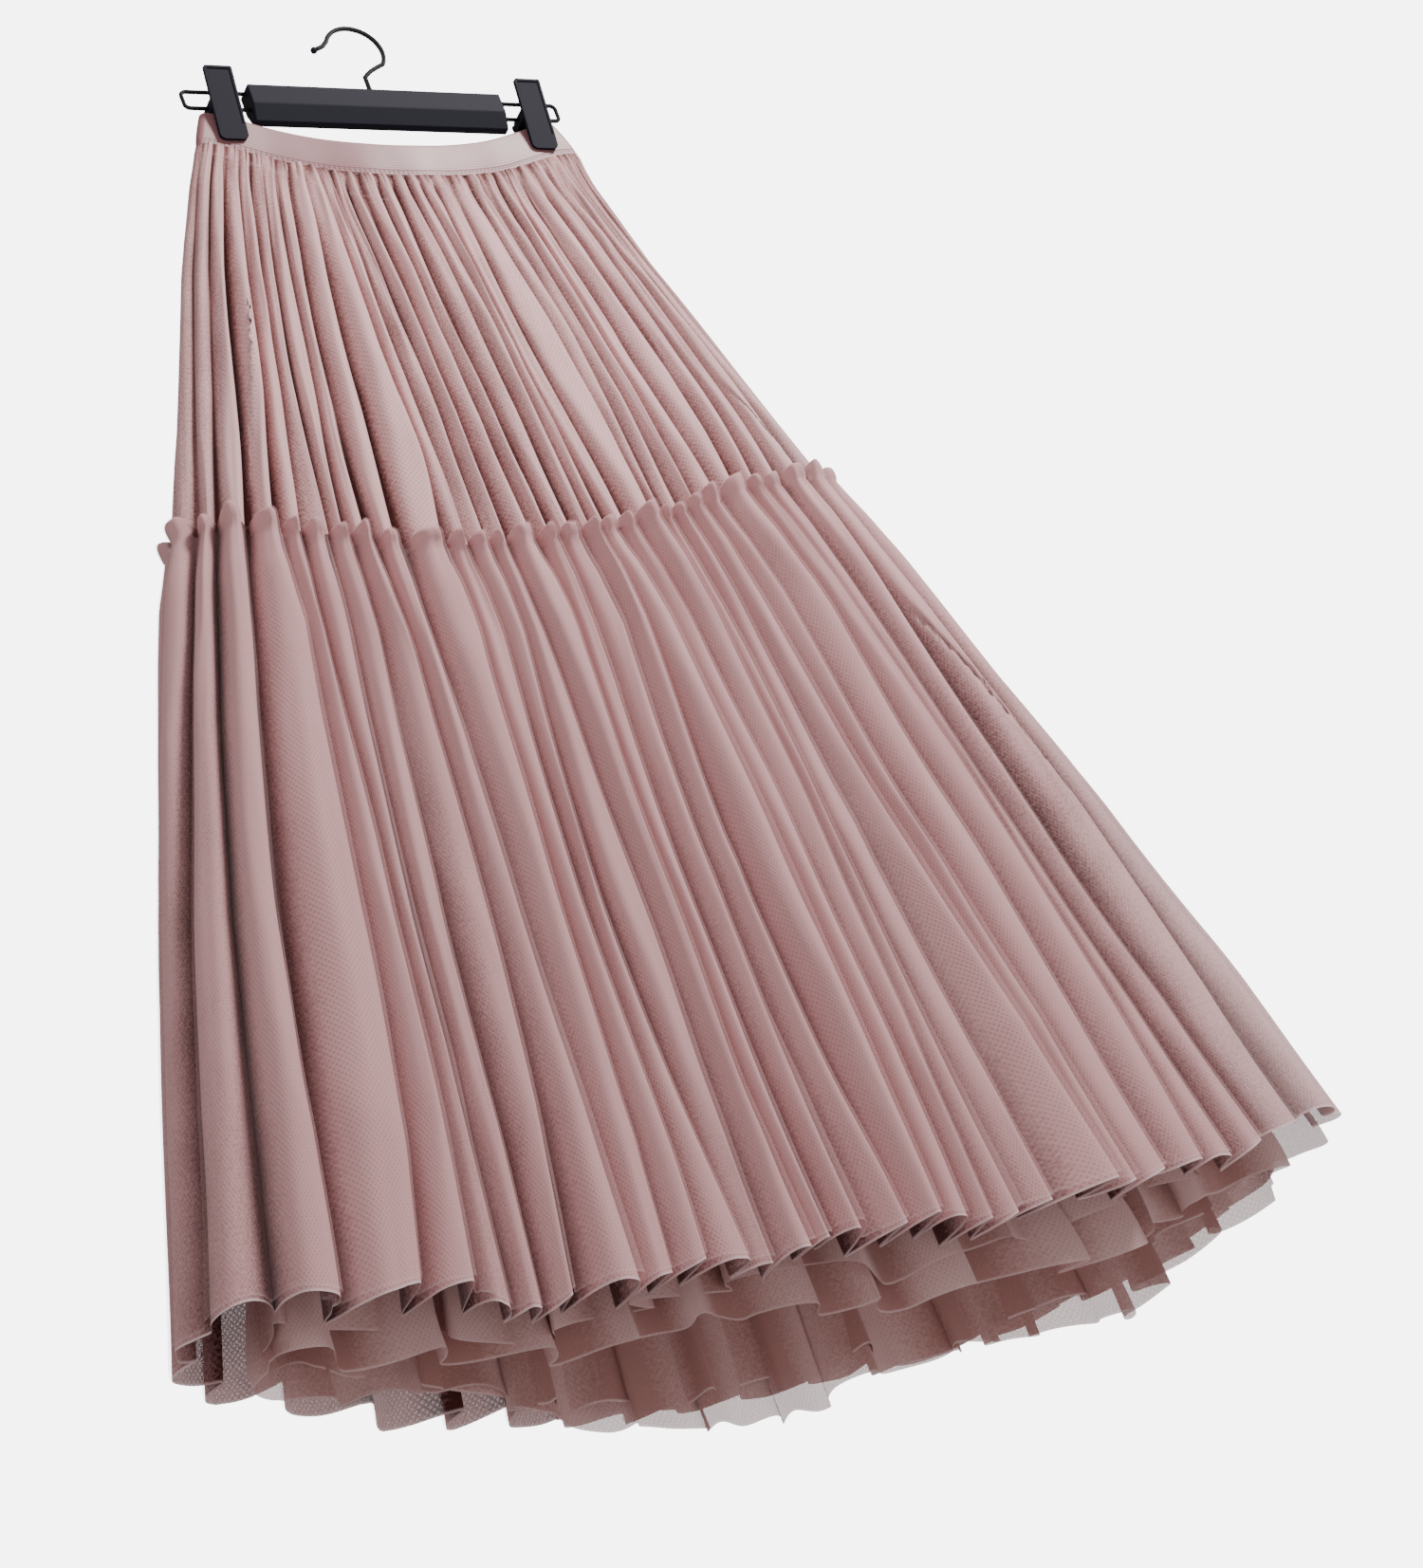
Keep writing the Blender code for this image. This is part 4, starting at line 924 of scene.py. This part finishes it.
def satin():
    """Polyester satin ribbon on elastic: pale, with a soft shine along its fine puckers."""
    finish, tree, shader = new_finish("satin ribbon on elastic")
    painted_shade = add_node(tree, "ShaderNodeAttribute", {"attribute_name": "painted_shade"})
    # Painted light and shade: the ribbon's colour runs from dark to light by its painted shade value.
    tone = add_node(tree, "ShaderNodeValToRGB", {}, {"Fac": painted_shade.outputs["Fac"]})
    tone.color_ramp.elements[0].color = linear("#7d4a4a")
    tone.color_ramp.elements[1].color = linear("#97696e")
    cloth = add_node(tree, "ShaderNodeUVMap", {"uv_map": "cloth"})
    ribs = add_node(
        tree, "ShaderNodeTexWave", {"bands_direction": "Y", "Scale": WAVE_PERIOD / RIB_PITCH},
        {"Vector": cloth.outputs["UV"]},
    )
    bump = add_node(
        tree, "ShaderNodeBump", {"Strength": 0.2, "Distance": 0.0003}, {"Height": ribs.outputs["Fac"]}
    )
    tree.links.new(bump.outputs["Normal"], shader.inputs["Normal"])
    tree.links.new(tone.outputs["Color"], shader.inputs["Base Color"])
    shader.inputs["Roughness"].default_value = 0.46
    shader.inputs["Sheen Weight"].default_value = 0.15
    return finish


def moulded_plastic():
    """Charcoal polypropylene, moulded with a fine satin grain."""
    finish, tree, shader = new_finish("moulded charcoal polypropylene")
    coordinates = add_node(tree, "ShaderNodeTexCoord")
    grain = add_node(
        tree, "ShaderNodeTexNoise", {"Scale": 1 / PLASTIC_GRAIN, "Detail": 2.0},
        {"Vector": coordinates.outputs["Object"]},
    )
    tone = add_node(tree, "ShaderNodeValToRGB", {}, {"Fac": grain.outputs["Fac"]})
    tone.color_ramp.elements[0].color = linear("#1b1c26")
    tone.color_ramp.elements[1].color = linear("#252631")
    bump = add_node(
        tree, "ShaderNodeBump", {"Strength": 0.15, "Distance": 0.0002}, {"Height": grain.outputs["Fac"]}
    )
    tree.links.new(tone.outputs["Color"], shader.inputs["Base Color"])
    tree.links.new(bump.outputs["Normal"], shader.inputs["Normal"])
    shader.inputs["Roughness"].default_value = 0.62
    shader.inputs["IOR"].default_value = 1.49
    shader.inputs["Specular IOR Level"].default_value = 0.08
    return finish


def black_wire():
    """Steel wire with a gloss black enamel."""
    finish, tree, shader = new_finish("black enamelled steel wire")
    coordinates = add_node(tree, "ShaderNodeTexCoord")
    wear = add_node(
        tree, "ShaderNodeTexNoise", {"Scale": 1 / WIRE_WEAR, "Detail": 2.0},
        {"Vector": coordinates.outputs["Object"]},
    )
    shine = add_node(
        tree, "ShaderNodeMapRange", {"To Min": 0.36, "To Max": 0.48}, {"Value": wear.outputs["Fac"]}
    )
    tree.links.new(shine.outputs["Result"], shader.inputs["Roughness"])
    shader.inputs["Base Color"].default_value = linear("#141316")
    shader.inputs["Specular IOR Level"].default_value = 0.3
    return finish


# ---- stage -----------------------------------------------------------------------------------------
CAMERA_PLACE = Vector((-0.9660, -1.4590, -1.4502))
CAMERA_AZIMUTH = 35.273
CAMERA_ELEVATION = 24.782
CAMERA_ROLL = -21.735
CAMERA_LENS = 69.04
CAMERA_SHIFT_Y = -0.0245
SKIRT_MIDDLE = Vector((0.0, 0.0, -0.6))
FLOOR_HALF_WIDTH = 2.5
FLOOR_Z = -1.8
# How bright the surround is as a light on the skirt, and as the camera sees it.
SURROUND_GLOW = 0.42
SURROUND_SEEN = 7.5


def set_camera():
    """Low down in front and to the left, looking up and tilted."""
    azimuth = math.radians(CAMERA_AZIMUTH)
    elevation = math.radians(CAMERA_ELEVATION)
    roll = math.radians(CAMERA_ROLL)
    ahead = Vector((
        math.sin(azimuth) * math.cos(elevation),
        math.cos(azimuth) * math.cos(elevation),
        math.sin(elevation),
    ))
    level = Vector((math.cos(azimuth), -math.sin(azimuth), 0.0))
    upright = level.cross(ahead)
    right = level * math.cos(roll) + upright * math.sin(roll)
    up = upright * math.cos(roll) - level * math.sin(roll)
    data = bpy.data.cameras.new("camera")
    data.sensor_width = 36.0
    data.lens = CAMERA_LENS
    data.shift_y = CAMERA_SHIFT_Y
    camera = bpy.data.objects.new("camera", data)
    bpy.context.scene.collection.objects.link(camera)
    turned = Matrix((right, up, -ahead)).transposed().to_4x4()
    camera.matrix_world = Matrix.Translation(CAMERA_PLACE) @ turned
    bpy.context.scene.camera = camera


def soft_light(name, place, size, power, colour):
    """A square soft box that faces the middle of the skirt."""
    data = bpy.data.lights.new(name, "AREA")
    data.size = size
    data.energy = power
    data.color = linear(colour)[:3]
    lamp = bpy.data.objects.new(name, data)
    bpy.context.scene.collection.objects.link(lamp)
    lamp.location = place
    aim = SKIRT_MIDDLE - Vector(place)
    lamp.rotation_euler = aim.to_track_quat("-Z", "Y").to_euler()


def set_stage():
    """A plain pale floor and surround, and soft light from the upper right in front."""
    bm = bmesh.new()
    bmesh.ops.create_grid(bm, x_segments=1, y_segments=1, size=FLOOR_HALF_WIDTH)
    bmesh.ops.translate(bm, verts=bm.verts[:], vec=(0.0, 0.0, FLOOR_Z))
    data = bpy.data.meshes.new("floor")
    bm.to_mesh(data)
    bm.free()
    finish, _, shader = new_finish("pale floor")
    shader.inputs["Base Color"].default_value = linear("#dcd7d6")
    shader.inputs["Roughness"].default_value = 0.9
    data.materials.append(finish)
    floor = bpy.data.objects.new("floor", data)
    bpy.context.scene.collection.objects.link(floor)
    world = bpy.data.worlds.new("surround")
    bpy.context.scene.world = world
    world.use_nodes = True
    sky = world.node_tree
    glow = sky.nodes["Background"]
    glow.inputs["Color"].default_value = linear("#f4ecec")
    glow.inputs["Strength"].default_value = SURROUND_GLOW
    seen = add_node(sky, "ShaderNodeBackground", {"Color": linear("#efebec"), "Strength": SURROUND_SEEN})
    ray = add_node(sky, "ShaderNodeLightPath")
    both = add_node(
        sky, "ShaderNodeMixShader", {},
        {0: ray.outputs["Is Camera Ray"], 1: glow.outputs["Background"], 2: seen.outputs["Background"]},
    )
    sky.links.new(both.outputs["Shader"], sky.nodes["World Output"].inputs["Surface"])
    soft_light("key", (1.1, -1.30, 1.1), 0.45, 88.0, "#fff8f6")
    soft_light("fill", (-1.7, -1.6, 0.5), 1.5, 15.0, "#fff6f5")


# ---- the skirt and its hanger ------------------------------------------------------------------------
def build():
    # Each net gets a painted shade colour for its valleys, a painted light colour for its ridges, then its
    # hem's colour.
    net = tulle("nylon tulle, lower tier", "#4b201d", "#d8adae", "#e4cccd", 0.99, LOWER_CUT[1])
    veil_net = tulle("nylon tulle, outer ply", "#7a4643", "#dcb5b6", "#e8d2d3", 0.22, VEIL_CUT[1], 0.22)
    waist_net = tulle("nylon tulle, upper tier", "#6c3a36", "#e2b9b9", "#e4cccd", 1.0, NO_RAW_EDGE)
    under_net = tulle("nylon tulle, under-layer", "#b38681", "#dfbfbd", "#e2c6c5", 0.97, UNDER_CUT[1])
    inner_net = tulle("nylon tulle, inner layer", "#b38681", "#dfbfbd", "#e2c6c5", 0.92, INNER_CUT[1])
    short_net = tulle("nylon tulle, short layer", "#b38681", "#dfbfbd", "#e2c6c5", 0.94, SHORT_CUT[1])
    upper = upper_tier(waist_net)
    lower = lower_tier("lower_tulle_tier", 0.0, 1.0, LOWER_CUT, net)
    veil = lower_tier("lower_tulle_ply", VEIL_OUT, VEIL_VALLEY_SHARE, VEIL_CUT, veil_net)
    under = under_tulle("under layer", "under_tulle_layer", UNDER_FOOT, 0.0, UNDER_CUT, under_net)
    inner = under_tulle("inner layer", "inner_tulle_layer", INNER_FOOT, INNER_SHRINK, INNER_CUT, inner_net)
    short = under_tulle("short layer", "short_tulle_layer", SHORT_FOOT, SHORT_SHRINK, SHORT_CUT, short_net)
    band = waistband(satin())
    sheets = (
        (band, ("waistband",), "band", BAND_CUT, "stretched", ["front_jaw_left", "front_jaw_right"]),
        (upper, ("upper_tier",), "upper_tulle", UPPER_CUT, "gathered", ["satin_band"]),
        (lower, ("lower_tier",), "lower_tulle", LOWER_CUT, "gathered", ["upper_tulle_tier"]),
        (veil, (), "lower_tulle", VEIL_CUT, "gathered", ["upper_tulle_tier"]),
        (under, ("under_layer",), "under_tulle", UNDER_CUT, "gathered", ["upper_tulle_tier"]),
        (inner, (), "under_tulle", INNER_CUT, "gathered", ["upper_tulle_tier"]),
        (short, (), "under_tulle", SHORT_CUT, "gathered", ["upper_tulle_tier"]),
    )
    for piece, nodes, slot, cut, held, above in sheets:
        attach(piece, "root")
        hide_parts(*nodes)
    plastic = moulded_plastic()
    wire = black_wire()
    for word, side in (("left", -1), ("right", 1)):
        front = clip_front(f"front_jaw_{word}", side, plastic)
        back = clip_back(f"back_jaw_{word}", side, plastic)
        for jaw, nodes in ((front, ("front",)), (back, ("back", "hub"))):
            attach(jaw, "root")
            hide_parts(*(f"clip_{word}_{node}" for node in nodes))
    for name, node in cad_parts.items():
        if name in ("hook", "rail_left", "rail_right"):
            node.data.materials.clear()
            node.data.materials.append(wire)
        elif name in ("bar", "hook_tip"):
            node.data.materials.clear()
            node.data.materials.append(plastic)


build()
set_camera()
set_stage()
